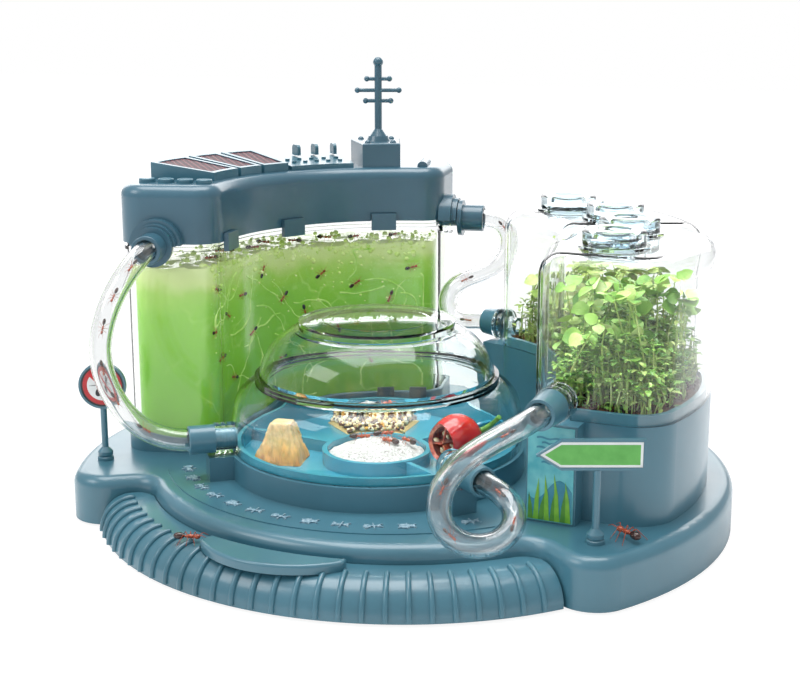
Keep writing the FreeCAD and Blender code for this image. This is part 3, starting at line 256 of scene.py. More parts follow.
def mouldedAbs(name, deep, mid, pale, roughness):
    # injection moulded ABS with a fine spark texture: satin, even colour, soft broad highlights
    return mottledSurface(
        name, [(0.25, deep), (0.5, mid), (0.8, pale)], (14.0, 4.0, 0.0), relief=(900.0, 2.0, 0.06, 0.0002),
        wear=(60.0, roughness - 0.05, roughness + 0.07), IOR=1.55, Coat_Weight=0.6, Coat_Roughness=0.18)


def clearStyrene(name, tint, roughness=0.015, waviness=0.05, bending=1.45):
    # clear moulded plastic, polished: sharp highlights, and little bending through thin, wavy walls
    material, tree, shader, spots = newMaterial(
        name, Base_Color=linearHex(tint), Transmission_Weight=1.0, Roughness=roughness, IOR=bending,
        Coat_Weight=0.5, Coat_Roughness=0.02)
    flow = addNode(tree, "TexNoise", {"Vector": spots, "Scale": 26.0, "Detail": 1.0})
    raised = addNode(tree, "Bump", {"Height": flow.outputs["Fac"], "Strength": waviness, "Distance": 0.0015})
    tree.links.new(raised.outputs["Normal"], shader.inputs["Normal"])
    return material


def paintNode(nodeName, material):
    for holder in nodes[nodeName].material_slots:
        holder.material = material


blueAbs = mouldedAbs("moulded ABS, base blue", "#386978", "#417485", "#4A7F91", 0.36)
lidAbs = mouldedAbs("moulded ABS, tank lid blue", "#30586A", "#386476", "#427083", 0.34)
darkAbs = mouldedAbs("moulded ABS, slate blue", "#2B4856", "#325160", "#3A5A69", 0.4)
clearWall = clearStyrene("clear polystyrene, jar wall", "#FDFEFE", bending=1.15)
clearDome = clearStyrene("clear polystyrene, dome", "#F6FBFB", bending=1.16)
clearCap = clearStyrene("clear polystyrene, caps", "#E6F2F7", bending=1.3)
clearCollar = clearStyrene("clear polystyrene, collars", "#EDF7F9", 0.05)
hoseVinyl = clearStyrene("clear PVC hose", "#F4F5F5", 0.06, 0.12)

# teal tinted polystyrene of the tray, glossy and a little milky
trayTeal = mottledSurface(
    "moulded polystyrene, tray teal", [(0.3, "#2A8299"), (0.7, "#4C9EB4")], (22.0, 3.0, 0.0),
    relief=(500.0, 3.0, 0.04, 0.0002), Roughness=0.2, Coat_Weight=0.5, IOR=1.5)

# nutrient gel: wet and bright green with a painted glow (its colour also feeds the emission), paler and foamy
# at the top, with pale worked veins
gelGreen, tree, shader, spots = newMaterial(
    "nutrient gel", Roughness=0.22, IOR=1.36, Coat_Weight=0.4, Coat_Roughness=0.1, Emission_Strength=0.24)
height = addNode(tree, "SeparateXYZ", {"Vector": spots}).outputs["Z"]
cloud = addNode(tree, "TexNoise", {"Vector": spots, "Scale": 55.0, "Detail": 5.0})
ragged = addNode(tree, "MapRange", {"Value": cloud.outputs["Fac"], "To Min": -0.011, "To Max": 0.011})
level = addNode(tree, "Math", {0: height, 1: ragged.outputs["Result"]}, operation="ADD")
band = addNode(tree, "MapRange", {"Value": level.outputs["Value"], "From Min": 0.03, "From Max": 0.13})
depthTone = addNode(tree, "ValToRGB", {"Fac": band.outputs["Result"]}, [
    (0.0, "#72AE32"), (0.35, "#78B83A"), (0.7, "#86C244"), (0.8, "#9CCB58"), (0.88, "#C6DC8C"),
    (1.0, "#D6E6A6")])
warped = addNode(tree, "TexNoise", {"Vector": spots, "Scale": 38.0, "Detail": 3.0})
drift = addNode(tree, "MixRGB", {
    "Fac": 0.03, "Color1": spots, "Color2": warped.outputs["Color"]}, blend_type="ADD")
veins = addNode(tree, "TexVoronoi", {
    "Vector": drift.outputs["Color"], "Scale": 52.0}, feature="DISTANCE_TO_EDGE")
veinMask = addNode(tree, "ValToRGB", {"Fac": veins.outputs["Distance"]}, [
    (0.0, "#FFFFFF"), (0.022, "#B0B0B0"), (0.05, "#000000")])
cloud = addNode(tree, "TexNoise", {"Vector": spots, "Scale": 30.0, "Detail": 3.0})
patches = addNode(tree, "ValToRGB", {"Fac": cloud.outputs["Fac"]}, [(0.5, "#000000"), (0.62, "#9A9A9A")])
veinShare = addNode(tree, "MixRGB", {
    "Fac": 1.0, "Color1": veinMask.outputs["Color"], "Color2": patches.outputs["Color"]},
    blend_type="MULTIPLY")
gelTone = addNode(tree, "MixRGB", {
    "Fac": veinShare.outputs["Color"], "Color1": depthTone.outputs["Color"], "Color2": linearHex("#CFE98C")})
tree.links.new(gelTone.outputs["Color"], shader.inputs["Base Color"])
# painted glow: the gel's colour also drives its emission, so it shines though it is no lamp
tree.links.new(gelTone.outputs["Color"], shader.inputs["Emission Color"])
grain = addNode(tree, "TexNoise", {"Vector": spots, "Scale": 160.0, "Detail": 4.0})
raised = addNode(tree, "Bump", {"Height": grain.outputs["Fac"], "Strength": 0.25, "Distance": 0.0006})
tree.links.new(raised.outputs["Normal"], shader.inputs["Normal"])

# foam bubbles and worked tunnels in the gel, wet, with the same painted glow as the gel
foam = mottledSurface(
    "gel foam", [(0.3, "#B7DB62"), (0.55, "#D3E894"), (0.8, "#EEF6C8")], (120.0, 3.0, 0.0), paintedGlow=True,
    Roughness=0.08, IOR=1.33, Coat_Weight=1.0, Emission_Strength=0.2)
tunnelPale = mottledSurface(
    "gel tunnel", [(0.35, "#94CB45"), (0.65, "#C6E587")], (200.0, 3.0, 0.0), paintedGlow=True,
    Roughness=0.3, Emission_Strength=0.2)

# nitrile foot rubber, matt with fine pits
footRubber = mottledSurface(
    "moulded rubber", [(0.3, "#131415"), (0.7, "#242628")], (300.0, 3.0, 0.0),
    relief=(1200.0, 3.0, 0.3, 0.0002), Roughness=0.8)

# zinc plated steel screws, turned heads with a drifting polish
zincSteel, tree, shader, spots = newMaterial(
    "zinc plated steel", Metallic=1.0, Base_Color=linearHex("#B8BBBD"))
rub = addNode(tree, "TexNoise", {"Vector": spots, "Scale": 700.0, "Detail": 3.0})
polish = addNode(tree, "MapRange", {"Value": rub.outputs["Fac"], "To Min": 0.25, "To Max": 0.45})
tree.links.new(polish.outputs["Result"], shader.inputs["Roughness"])

# pale printed relief of the insect row, speckled like hammered lacquer
reliefGrey = mottledSurface(
    "printed relief, pale grey", [(0.35, "#5E8296"), (0.5, "#86A5B4"), (0.68, "#B9CCD4")],
    (900.0, 4.0, 0.0), relief=(1500.0, 3.0, 0.3, 0.0002), Roughness=0.45)

# solar cells: maroon glass over fine slanted conductors, 2.4 mm apart one way
cellMaroon, tree, shader, spots = newMaterial(
    "solar cell", Roughness=0.5, Specular_IOR_Level=0.15, Coat_Weight=0.06, Coat_Roughness=0.1)
waves = []
for degrees, scale in ((38, 130.0), (-48, 90.0)):
    slant = addNode(tree, "Mapping", {"Vector": spots, "Rotation": (0.0, 0.0, math.radians(degrees))})
    waves.append(addNode(tree, "TexWave", {
        "Vector": slant.outputs["Vector"], "Scale": scale, "Distortion": 0.0}).outputs["Fac"])
lines = addNode(tree, "Math", {0: waves[0], 1: waves[1]}, operation="MULTIPLY")
tone = addNode(tree, "ValToRGB", {"Fac": lines.outputs["Value"]}, [
    (0.0, "#35121F"), (0.45, "#54202E"), (0.8, "#8A4A50"), (1.0, "#B98A86")])
tree.links.new(tone.outputs["Color"], shader.inputs["Base Color"])

# dry quartz sand, white grey with darker grains of about half a millimetre
quartzSand, tree, shader, spots = newMaterial("quartz sand", Roughness=0.85)
grain = addNode(tree, "TexVoronoi", {"Vector": spots, "Scale": 1300.0})
grainShade = addNode(tree, "SeparateXYZ", {"Vector": grain.outputs["Color"]})
tone = addNode(tree, "ValToRGB", {"Fac": grainShade.outputs["X"]}, [
    (0.0, "#8A847E"), (0.2, "#B4B0AB"), (0.7, "#C9C6C1"), (1.0, "#DEDCD9")])
tree.links.new(tone.outputs["Color"], shader.inputs["Base Color"])
raised = addNode(tree, "Bump", {"Height": grain.outputs["Distance"], "Strength": 0.6, "Distance": 0.0004})
tree.links.new(raised.outputs["Normal"], shader.inputs["Normal"])


def seedHull(name, dark, pale):
    # dry seed coat, slightly waxy, with fine streaks
    return mottledSurface(
        name, [(0.3, dark), (0.7, pale)], (800.0, 3.0, 1.0), relief=(1500.0, 3.0, 0.2, 0.0002),
        Roughness=0.45)


seedTones = [seedHull("millet, straw", "#C9A25A", "#EAD59A"), seedHull("millet, cream", "#D9C79A", "#F4EBCB"),
             seedHull("flax, brown", "#4A2C18", "#7C5030"), seedHull("rape, dark", "#1E1712", "#3E3026"),
             seedHull("maize, gold", "#C8811F", "#F0B84A")]

# moist fruit flesh: stretched fibres, orange below and cream above
fruitFlesh, tree, shader, spots = newMaterial(
    "fruit flesh", Roughness=0.3, Subsurface_Weight=0.4, Subsurface_Scale=0.005, Coat_Weight=0.3)
stretched = addNode(tree, "Mapping", {"Vector": spots, "Scale": (1.0, 1.0, 0.22)})
fibres = addNode(tree, "TexNoise", {"Vector": stretched.outputs["Vector"], "Scale": 420.0, "Detail": 4.0})
height = addNode(tree, "SeparateXYZ", {"Vector": spots}).outputs["Z"]
cloud = addNode(tree, "TexNoise", {"Vector": spots, "Scale": 130.0, "Detail": 3.0})
wavy = addNode(tree, "MapRange", {"Value": cloud.outputs["Fac"], "To Min": -0.007, "To Max": 0.007})
level = addNode(tree, "Math", {0: height, 1: wavy.outputs["Result"]}, operation="ADD")
share = addNode(tree, "MapRange", {"Value": level.outputs["Value"], "From Min": 0.034, "From Max": 0.058})
flesh = addNode(tree, "ValToRGB", {"Fac": share.outputs["Result"]}, [
    (0.0, "#E09A48"), (0.2, "#F3B65E"), (0.5, "#F6D08C"), (1.0, "#F8E4BC")])
threads = addNode(tree, "ValToRGB", {"Fac": fibres.outputs["Fac"]}, [(0.35, "#C9C9C9"), (0.62, "#FFFFFF")])
tone = addNode(tree, "MixRGB", {
    "Fac": 0.8, "Color1": flesh.outputs["Color"], "Color2": threads.outputs["Color"]}, blend_type="MULTIPLY")
tree.links.new(tone.outputs["Color"], shader.inputs["Base Color"])
raised = addNode(tree, "Bump", {"Height": fibres.outputs["Fac"], "Strength": 0.5, "Distance": 0.0006})
tree.links.new(raised.outputs["Normal"], shader.inputs["Normal"])

# ripe pepper: waxy skin outside, wet paler flesh inside, green stalk
pepperSkin = mottledSurface(
    "pepper skin", [(0.3, "#A80F12"), (0.6, "#CC2420"), (0.85, "#DB4838")], (90.0, 3.0, 0.0),
    relief=(240.0, 3.0, 0.08, 0.0005), Roughness=0.14, Coat_Weight=0.6, Subsurface_Weight=0.08,
    Subsurface_Scale=0.003)
pepperFlesh = mottledSurface(
    "pepper flesh", [(0.3, "#7E1710"), (0.5, "#C4472C"), (0.75, "#F0A070")], (380.0, 3.0, 0.0),
    relief=(500.0, 3.0, 0.4, 0.0004), Roughness=0.3, Coat_Weight=0.4)
stalkGreen = mottledSurface(
    "pepper stalk", [(0.3, "#4E8A2A"), (0.7, "#8DBB4C")], (260.0, 4.0, 0.6),
    relief=(700.0, 3.0, 0.25, 0.0003), Roughness=0.4)

# loose peat soil, damp, with fibre flecks
peatSoil = mottledSurface(
    "peat soil", [(0.3, "#24140D"), (0.48, "#4A2A1B"), (0.6, "#6B402A"), (0.78, "#9A6A4A")],
    (320.0, 6.0, 0.4), relief=(420.0, 5.0, 0.8, 0.001), Roughness=0.92)


def leafBlade(name, deep, mid, pale):
    # thin young leaf: light comes through it, darker and paler patches, soft sheen
    return mottledSurface(
        name, [(0.3, deep), (0.5, mid), (0.72, pale)], (75.0, 5.0, 0.0), relief=(900.0, 3.0, 0.25, 0.0003),
        Roughness=0.42, Subsurface_Weight=0.15, Subsurface_Scale=0.002, Sheen_Weight=0.1)


# front leaf tones: bright is the leaf's own colour; the shaded copy is darker, painted shade, given most to
# the low leaves; the lime copy is paler, painted light, given most to the top crowns
leafBright = leafBlade("cress leaf, bright", "#5C962C", "#84B844", "#B4D878")
leafPaintedShade = leafBlade("cress leaf, painted shade", "#3C6C22", "#5E9036", "#8CB658")
leafPaintedLight = leafBlade("cress leaf, painted light", "#9CC452", "#BEDA7C", "#DDEBB2")
stemPale = leafBlade("cress stem", "#86AD4A", "#A9C76C", "#CBDDA0")
# rear pot leaves: a paler yellow-green tone, and a darker copy of it that paints shade, given most to the low
# leaves
leafRearPale = leafBlade("cress leaf, rear", "#7A9A3C", "#A8BF62", "#D3DDA0")
leafRearPaintedShade = leafBlade("cress leaf, rear, painted shade", "#5F7A34", "#8CA25A", "#B9C58A")

# ant body: reddish translucent shell, darker rear
antRed = mottledSurface(
    "ant shell, red brown", [(0.3, "#8A3018"), (0.7, "#C86034")], (700.0, 3.0, 0.0),
    Roughness=0.25, Coat_Weight=0.5)
antDark = mottledSurface(
    "ant shell, dark", [(0.3, "#1C0E0A"), (0.7, "#4A2216")], (700.0, 3.0, 0.0),
    Roughness=0.22, Coat_Weight=0.6)


def enamelPrint(name, deep, pale):
    # screen printed enamel on plastic: flat colour with a faint ink mottle
    return mottledSurface(
        name, [(0.3, deep), (0.7, pale)], (160.0, 4.0, 0.0), relief=(1400.0, 3.0, 0.05, 0.0001),
        Roughness=0.28, Coat_Weight=0.2)


printWhite = enamelPrint("printed white", "#E9ECEA", "#F6F8F6")
printBlack = enamelPrint("printed black", "#141517", "#222427")
printRed = enamelPrint("printed red", "#B81A22", "#CF2A2E")
printGreen = enamelPrint("printed sign green", "#55A846", "#68BB56")
printCyan = enamelPrint("printed cyan", "#4FB2BE", "#7FD0D2")
printTeal = enamelPrint("printed teal", "#2C7D96", "#3E93A8")
printReed = enamelPrint("printed reed green", "#5FA324", "#8CC63C")
printReedDeep = enamelPrint("printed deep green", "#3F7F1E", "#5C9A2C")

clearPieces = ("tank_shell", "front_jar", "rear_jar", "dome_skirt", "dome_lid", "front_jar_cap_1",
               "front_jar_cap_2", "rear_jar_cap_1", "rear_jar_cap_2", "front_jar_collar", "rear_jar_collar")
finishes = {  # every other node is base blue
    "rubber_feet": footRubber, "bottom_screws": zincSteel, "tank_shell": clearWall, "front_jar": clearWall,
    "rear_jar": clearWall, "dome_skirt": clearDome, "dome_lid": clearDome, "feeding_tray": trayTeal,
    "insect_reliefs": reliefGrey, "tank_lid": lidAbs, "tank_lid_clips": lidAbs, "antenna_box": lidAbs,
    "antenna_mast": lidAbs, "tank_base_clips": darkAbs, "base_bottom_plate": darkAbs,
    "pot_picture_panel": printCyan}
familyFinishes = {
    "jar_cap": clearCap, "jar_collar": clearCollar, "solar_cell": cellMaroon, "tank_nozzle": lidAbs}
for nodeName in nodes:
    finish = finishes.get(nodeName, blueAbs)
    for family in familyFinishes:
        if family in nodeName:
            finish = familyFinishes[family]
    paintNode(nodeName, finish)
for nodeName in clearPieces:
    nodes[nodeName].visible_shadow = False  # clear walls let the lamps through
print("frame painted")


# camera and studio

cameraSetup = {"place": (0.3052, -0.6575, 0.2566), "turn": 25.0, "dip": 13.11, "lens": 64.77}
bpy.ops.object.camera_add(
    location=cameraSetup["place"],
    rotation=(math.radians(90 - cameraSetup["dip"]), 0, math.radians(cameraSetup["turn"])))
camera = bpy.context.active_object
camera.data.lens = cameraSetup["lens"]
camera.data.sensor_width = 36
camera.data.clip_end = 50
bpy.context.scene.camera = camera
bpy.context.scene.view_settings.view_transform = "Standard"

studio = {"world": 0.6, "key": 8.0, "top": 19.0, "back": 15.0, "paperGlow": 1.14, "paperShare": 0.8}

bpy.ops.mesh.primitive_plane_add(size=8, location=(0, 0, 0))
floor = nameActive("studioFloor")
floorPaint, tree, shader, spots = newMaterial("studio paper", Roughness=0.9, Specular_IOR_Level=0.1)
cloud = addNode(tree, "TexNoise", {"Vector": spots, "Scale": 3.0, "Detail": 3.0})
tone = addNode(tree, "ValToRGB", {"Fac": cloud.outputs["Fac"]}, [(0.2, "#F1F2F3"), (0.8, "#F8F8F8")])
tree.links.new(tone.outputs["Color"], shader.inputs["Base Color"])
glow = addNode(tree, "Emission", {"Color": linearHex("#FFFFFF"), "Strength": studio["paperGlow"]})
path = addNode(tree, "LightPath").outputs
seen = addNode(tree, "Math", {0: path["Is Camera Ray"], 1: path["Is Transmission Ray"]}, operation="MAXIMUM")
part = addNode(tree, "Math", {0: seen.outputs["Value"], 1: studio["paperShare"]}, operation="MULTIPLY")
blend = addNode(tree, "MixShader", {
    0: part.outputs["Value"], 1: shader.outputs["BSDF"], 2: glow.outputs["Emission"]})
tree.links.new(blend.outputs["Shader"], tree.nodes["Material Output"].inputs["Surface"])
floor.data.materials.append(floorPaint)

world = bpy.data.worlds.new("studio")
bpy.context.scene.world = world
world.use_nodes = True
tree = world.node_tree
tree.nodes.clear()
path = addNode(tree, "LightPath").outputs
plain = addNode(tree, "Background", {"Color": linearHex("#F3F6FA"), "Strength": studio["world"]})
white = addNode(tree, "Background", {"Color": linearHex("#FFFFFF"), "Strength": 1.0})
seen = addNode(tree, "Math", {0: path["Is Camera Ray"], 1: path["Is Transmission Ray"]}, operation="MAXIMUM")
blend = addNode(tree, "MixShader", {
    0: seen.outputs["Value"], 1: plain.outputs["Background"], 2: white.outputs["Background"]})
addNode(tree, "OutputWorld", {"Surface": blend.outputs["Shader"]})


def addLamp(name, place, target, width, depth, power):
    aim = (Vector(target) - Vector(place)).to_track_quat("-Z", "Y").to_euler()
    bpy.ops.object.light_add(type="AREA", location=place, rotation=aim)
    lamp = nameActive(name)
    lamp.data.shape = "RECTANGLE"
    lamp.data.size, lamp.data.size_y = width, depth
    lamp.data.energy = power


addLamp("keyLamp", (-1.0, -1.1, 1.3), (0, 0, 0.06), 0.9, 0.7, studio["key"])
addLamp("topLamp", (-0.1, 0.1, 1.5), (0, 0, 0.06), 1.2, 1.0, studio["top"])
addLamp("backLamp", (-0.75, 1.6, 0.75), (0, 0, 0.08), 2.6, 0.9, studio["back"])
print("studio set")


# hoses: clear vinyl tube, 11 mm outside and 8 mm inside

hoseSetup = {
    "radius": 5.5, "wall": 1.5,
    "hose_tank_to_dome": {"length": 138.4, "points": (
        (-113.14, -60.97, 138), (-109.8, -70.39, 138), (-111.8, -79, 131.5), (-115.3, -87.5, 120.5),
        (-117.5, -94, 108), (-118, -98, 96), (-116.5, -99, 84), (-113, -97, 71.5), (-107, -93, 60),
        (-98, -88.4, 51.3), (-85.54, -81.17, 46.5), (-77.94, -74.67, 46.5))},
    "hose_tank_to_rear_jar": {"length": 118.3, "points": (
        (-6, 113.57, 138), (3.74, 115.82, 138), (11.5, 118, 133), (14.3, 117.6, 122.5), (9.8, 113.5, 112.2),
        (1.5, 108.5, 107), (-7.5, 104.2, 103.8), (-15.3, 101, 98.2), (-18.3, 99.8, 89.6), (-14, 99.6, 81.8),
        (-5.2, 98.6, 80.2), (4.5, 96.11, 82), (14.16, 93.52, 82))},
    "hose_front_jar_to_dome": {"length": 161.7, "points": (
        (103, -74, 82), (103, -84, 82), (98.5, -96, 79.5), (90, -106, 75), (81.5, -115, 68.5),
        (75.5, -121.5, 59.5), (74, -124.5, 48.5), (77.5, -123.5, 38.5), (85.5, -118.5, 31.8), (95, -110, 31),
        (100, -101, 36), (97.5, -92.5, 42.3), (89.2, -86.4, 46), (80.42, -79.73, 46.5),
        (72.38, -73.79, 46.5))},
}
hoseLines = {}
for nodeName in ("hose_tank_to_dome", "hose_tank_to_rear_jar", "hose_front_jar_to_dome"):
    facts = hoseSetup[nodeName]
    curve = softCurve(nodeName + "_tube", [[c * mm for c in spot] for spot in facts["points"]], 10)
    hose = addObject(nodeName + "_tube", curve)
    line = bpy.data.meshes.new_from_object(hose)  # bare centre line, before the tube gets its width
    hoseLines[nodeName] = [v.co.copy() for v in line.vertices]
    bpy.data.meshes.remove(line)
    curve.bevel_depth = hoseSetup["radius"] * mm
    curve.bevel_resolution = 7
    curve.use_fill_caps = False
    curve.materials.append(hoseVinyl)
    wall = hose.modifiers.new("wall", "SOLIDIFY")
    wall.thickness = hoseSetup["wall"] * mm
    wall.offset = -1
    hose.visible_shadow = False
    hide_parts(nodeName)
    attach(hose, "habitat")
print("hoses laid")


# ants, one model copied at several sizes

antShape = {
    "balls": (((0.36, 0, 0.2), (0.115, 0.1, 0.085), 0), ((0.12, 0, 0.2), (0.16, 0.068, 0.075), 0),
              ((-0.045, 0, 0.19), (0.04, 0.035, 0.045), 0), ((-0.27, 0, 0.21), (0.2, 0.13, 0.12), 1)),
    "legs": ((0.2, 0.16, 0.36, 0.34), (0.11, 0.2, 0.42, 0.06), (0.03, 0.18, 0.44, -0.26)),
}


def modelAnt():
    parts = []
    for spot, size, tone in antShape["balls"]:
        bpy.ops.mesh.primitive_uv_sphere_add(segments=12, ring_count=8, location=spot, scale=size)
        parts.append(bpy.context.active_object)
        parts[-1].data.materials.append(antRed)
        parts[-1].data.materials.append(antDark)
        for face in parts[-1].data.polygons:
            face.material_index = tone
    for side in (-1, 1):
        for hip, knee, foot, reach in antShape["legs"]:
            bend = (hip + 0.4 * (reach - hip), side * knee, 0.3)
            parts.append(rod((hip, side * 0.05, 0.18), bend, 0.018, 5, 0.014))
            parts.append(rod(bend, (reach, side * foot, 0.0), 0.014, 5, 0.007))
        parts.append(rod((0.42, side * 0.05, 0.23), (0.54, side * 0.14, 0.3), 0.011, 5))
        parts.append(rod((0.54, side * 0.14, 0.3), (0.7, side * 0.15, 0.22), 0.011, 5, 0.007))
    for part in parts[len(antShape["balls"]):]:
        part.data.materials.append(antRed)
    for part in parts:
        selectOnly(part)
        bpy.ops.object.transform_apply(location=True, rotation=True, scale=True)
    return joinPieces(parts, "antModel")


ant = modelAnt()
antSetup = {  # millimetres and degrees, apart from the shares along each hose
    "hoses": {"hose_tank_to_dome": (0.13, 0.26, 0.38, 0.55, 0.68, 0.84),
              "hose_tank_to_rear_jar": (0.12, 0.5, 0.88),
              "hose_front_jar_to_dome": (0.14, 0.36, 0.52, 0.76, 0.9)},
    "hoseSize": (0.0085, 0.0062, 0.0075), "sunk": 1.6, "view": (0.4226, -0.9063, 0.0),
    "wall": ((192, 112), (190, 74), (186, 96), (182, 60), (176, 104), (171, 82), (166, 114), (160, 66),
             (157, 98), (149, 88), (143, 108), (137, 76), (131, 101), (126, 60), (119, 93), (112, 110),
             (196, 90), (173, 50)),
    "wallRadius": 100.9, "wallSize": (0.008, 0.008, 0.0035),
    "gelTop": ((190, 104), (178, 108), (169, 103), (160, 112), (151, 104), (140, 107), (131, 103),
               (118, 106)),
    "gelHeight": 126.6, "gelSize": 0.009,
    "sand": (((-12, -26, 41.4), 0.5), ((-1.5, -20, 42.6), 0.7), ((6.5, -28, 42.0), 2.9),
             ((13.5, -21, 41.0), 2.6)),
    "sandSize": 0.0115,
    "base": (((-46.5, -134.5, 18.2), 0.35, 0.0135), ((142.0, -66.5, 26.0), 2.55, 0.0165)),
}
antPlaces = {"hoses": [], "gel": [], "sand": [], "base": []}
for nodeName, shares in antSetup["hoses"].items():
    centreLine = hoseLines[nodeName]
    for share in shares:
        at = int(share * (len(centreLine) - 2))
        along = (centreLine[at + 1] - centreLine[at]).normalized()
        side = along.cross(Vector(antSetup["view"])).normalized()
        up = side.cross(along).normalized()
        turn = Matrix((along, up.cross(along), up)).transposed()
        spot = centreLine[at] - up * antSetup["sunk"] * mm
        antPlaces["hoses"].append((placed(spot, turn, antSetup["hoseSize"]), None))
for degrees, high in antSetup["wall"]:
    inward = -polar(1.0, degrees).normalized()
    spot = polar(antSetup["wallRadius"], degrees, high)
    antPlaces["gel"].append((placed(spot, facing(inward, dice.uniform(0, 6.28)), antSetup["wallSize"]), None))
for degrees, radius in antSetup["gelTop"]:
    spot, turn = polar(radius, degrees, antSetup["gelHeight"]), Matrix.Rotation(dice.uniform(0, 6.28), 3, "Z")
    antPlaces["gel"].append((placed(spot, turn, antSetup["gelSize"]), None))
for spot, turn in antSetup["sand"]:
    turned = Matrix.Rotation(turn, 3, "Z")
    antPlaces["sand"].append((placed(Vector(spot) * mm, turned, antSetup["sandSize"]), None))
for spot, turn, size in antSetup["base"]:
    antPlaces["base"].append((placed(Vector(spot) * mm, Matrix.Rotation(turn, 3, "Z"), size), None))
for group, places in antPlaces.items():
    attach(gatherCopies("ants_" + group, ant, places), "habitat")
print("ants placed")


# gel: the moulded block set back from its walls, with a ragged foamy top, tunnels and bubbles

gelSetup = {  # millimetres and degrees; inner and outer are the radii of the foam behind each wall
    "voxel": 2.4, "setBack": 1.1, "raggedFrom": 122.0, "footTo": 34.0, "foot": 33.2, "inner": 100.75,
    "outer": 143.3, "sweep": (106.5, 196.0), "top": (124.6, 125.9), "bubbles": 620, "tunnels": 26,
    "tunnelRadius": 0.55}
gel = copyOfNode("gel_block", "gel")
remesh(gel, gelSetup["voxel"] * mm)
moves = [(v.index, v.normal.copy()) for v in gel.data.vertices]
for index, normal in moves:
    spot = gel.data.vertices[index].co
    spot -= normal * gelSetup["setBack"] * mm
    if spot.z > gelSetup["raggedFrom"] * mm:
        spot.z += (noise.noise(spot * 95) * 1.6 + noise.noise(spot * 260) * 0.8) * mm
    if spot.z < gelSetup["footTo"] * mm:
        spot.z = gelSetup["foot"] * mm
gel.data.materials.append(gelGreen)
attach(settle(gel, 50), "habitat")
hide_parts("gel_block")

bpy.ops.mesh.primitive_ico_sphere_add(subdivisions=2, radius=1.0)
bubble = nameActive("bubbleModel")
bubble.data.materials.append(foam)
places = []
for count in range(gelSetup["bubbles"]):
    degrees = dice.uniform(*gelSetup["sweep"])
    size = dice.choice((0.35, 0.5, 0.6, 0.8, 1.0, 1.3, 1.7)) * mm
    if count % 3 == 0:  # floating on top
        spot = polar(dice.uniform(102.5, 141.5), degrees, dice.uniform(*gelSetup["top"]))
    elif count % 3 == 1:  # foam band behind the inner wall
        spot = polar(gelSetup["inner"], degrees, 125.2 - abs(dice.gauss(0, 4.5)))
    else:  # scattered lower down and behind the outer wall
        radius = dice.choice((gelSetup["inner"], gelSetup["inner"], gelSetup["outer"]))
        spot = polar(radius, degrees, 124 - abs(dice.gauss(0, 26)))
        size *= 0.55
    if spot.z > 0.036:
        places.append((placed(spot, None, (size, size, size * 0.9)), None))
gelBubbles = gatherCopies("gelBubbles", bubble, places)
discard(bubble)
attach(gelBubbles, "habitat")

tunnels = []
for count in range(gelSetup["tunnels"]):
    degrees = 109 + (count * 37.7) % 84
    high = dice.uniform(48, 119)
    turn = dice.uniform(0, 6.28)
    trail = []
    for step in range(dice.randint(7, 13)):
        trail.append(polar(gelSetup["inner"], degrees, high))
        turn += dice.uniform(-0.75, 0.75)
        degrees += math.cos(turn) * 2.6
        high += math.sin(turn) * 4.6
        degrees = min(max(degrees, 108), 194.5)
        high = min(max(high, 38), 121)
    curve = softCurve("tunnel", trail, 5)
    for point in curve.splines[0].points:
        point.radius = dice.uniform(0.55, 1.25)
    curve.bevel_depth = gelSetup["tunnelRadius"] * mm
    curve.bevel_resolution = 2
    curve.use_fill_caps = True
    selectOnly(addObject("tunnel", curve))
    bpy.ops.object.convert(target="MESH")
    tunnels.append(bpy.context.active_object)
gelTunnels = joinPieces(tunnels, "gelTunnels")
gelTunnels.data.materials.clear()
gelTunnels.data.materials.append(tunnelPale)
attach(settle(gelTunnels, 60), "habitat")
print("gel made")


# food in the tray

tray = {"centre": (-7.6, -14.6), "floor": 33.0, "voxel": 0.9, "sandFrom": 36.5}
trayFloor = tray["floor"] * mm
lowest = trayFloor + 0.1 * mm

sand = copyOfNode("sand_fill", "sand")
remesh(sand, tray["voxel"] * mm)
for vertex in sand.data.vertices:
    if vertex.co.z > tray["sandFrom"] * mm:
        vertex.co.z += (noise.noise(vertex.co * 120) * 0.9 + noise.noise(vertex.co * 420) * 0.3 - 0.3) * mm
sand.data.materials.append(quartzSand)
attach(settle(sand, 50), "habitat")
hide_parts("sand_fill")

bpy.ops.mesh.primitive_uv_sphere_add(segments=8, ring_count=6, radius=1.0)
seed = nameActive("seedModel")
for vertex in seed.data.vertices:  # pointed at one end, as a millet grain is
    vertex.co.x *= 1 - 0.25 * vertex.co.x
for material in seedTones:
    seed.data.materials.append(material)
heap = {  # a ring sector in millimetres and degrees, and the half sizes of the seed kinds
    "seeds": 900, "radius": 46.0, "halfWidth": 11.3, "degrees": (93.5, 142.5), "rise": 8.0,
    "shapes": ((1.5, 1.1, 0.9), (1.3, 1.2, 1.1), (1.9, 0.95, 0.6), (1.1, 1.1, 1.0), (2.0, 1.3, 0.8)),
    "shares": (5, 4, 3, 2, 1.5), "bedShare": 0.3}
places = []
for count in range(heap["seeds"]):
    radius = heap["radius"] + dice.uniform(-heap["halfWidth"], heap["halfWidth"])
    degrees = dice.uniform(*heap["degrees"])
    ends = min(1, (degrees - 91) / 6, (145 - degrees) / 6)
    crown = max(0.0, heap["rise"] * (1 - ((radius - heap["radius"]) / 12) ** 2) * ends)
    spot = polar(radius, degrees, tray["floor"] + 0.7 + crown * dice.uniform(0.72, 1.0), tray["centre"])
    size = dice.uniform(0.8, 1.25)
    shape = dice.choice(heap["shapes"])
    turn = facing((dice.uniform(-0.5, 0.5), dice.uniform(-0.5, 0.5), 1), dice.uniform(0, 6.28))
    tone = dice.choices(range(5), heap["shares"])[0]
    places.append((placed(spot, turn, [c * size * mm for c in shape]), tone))
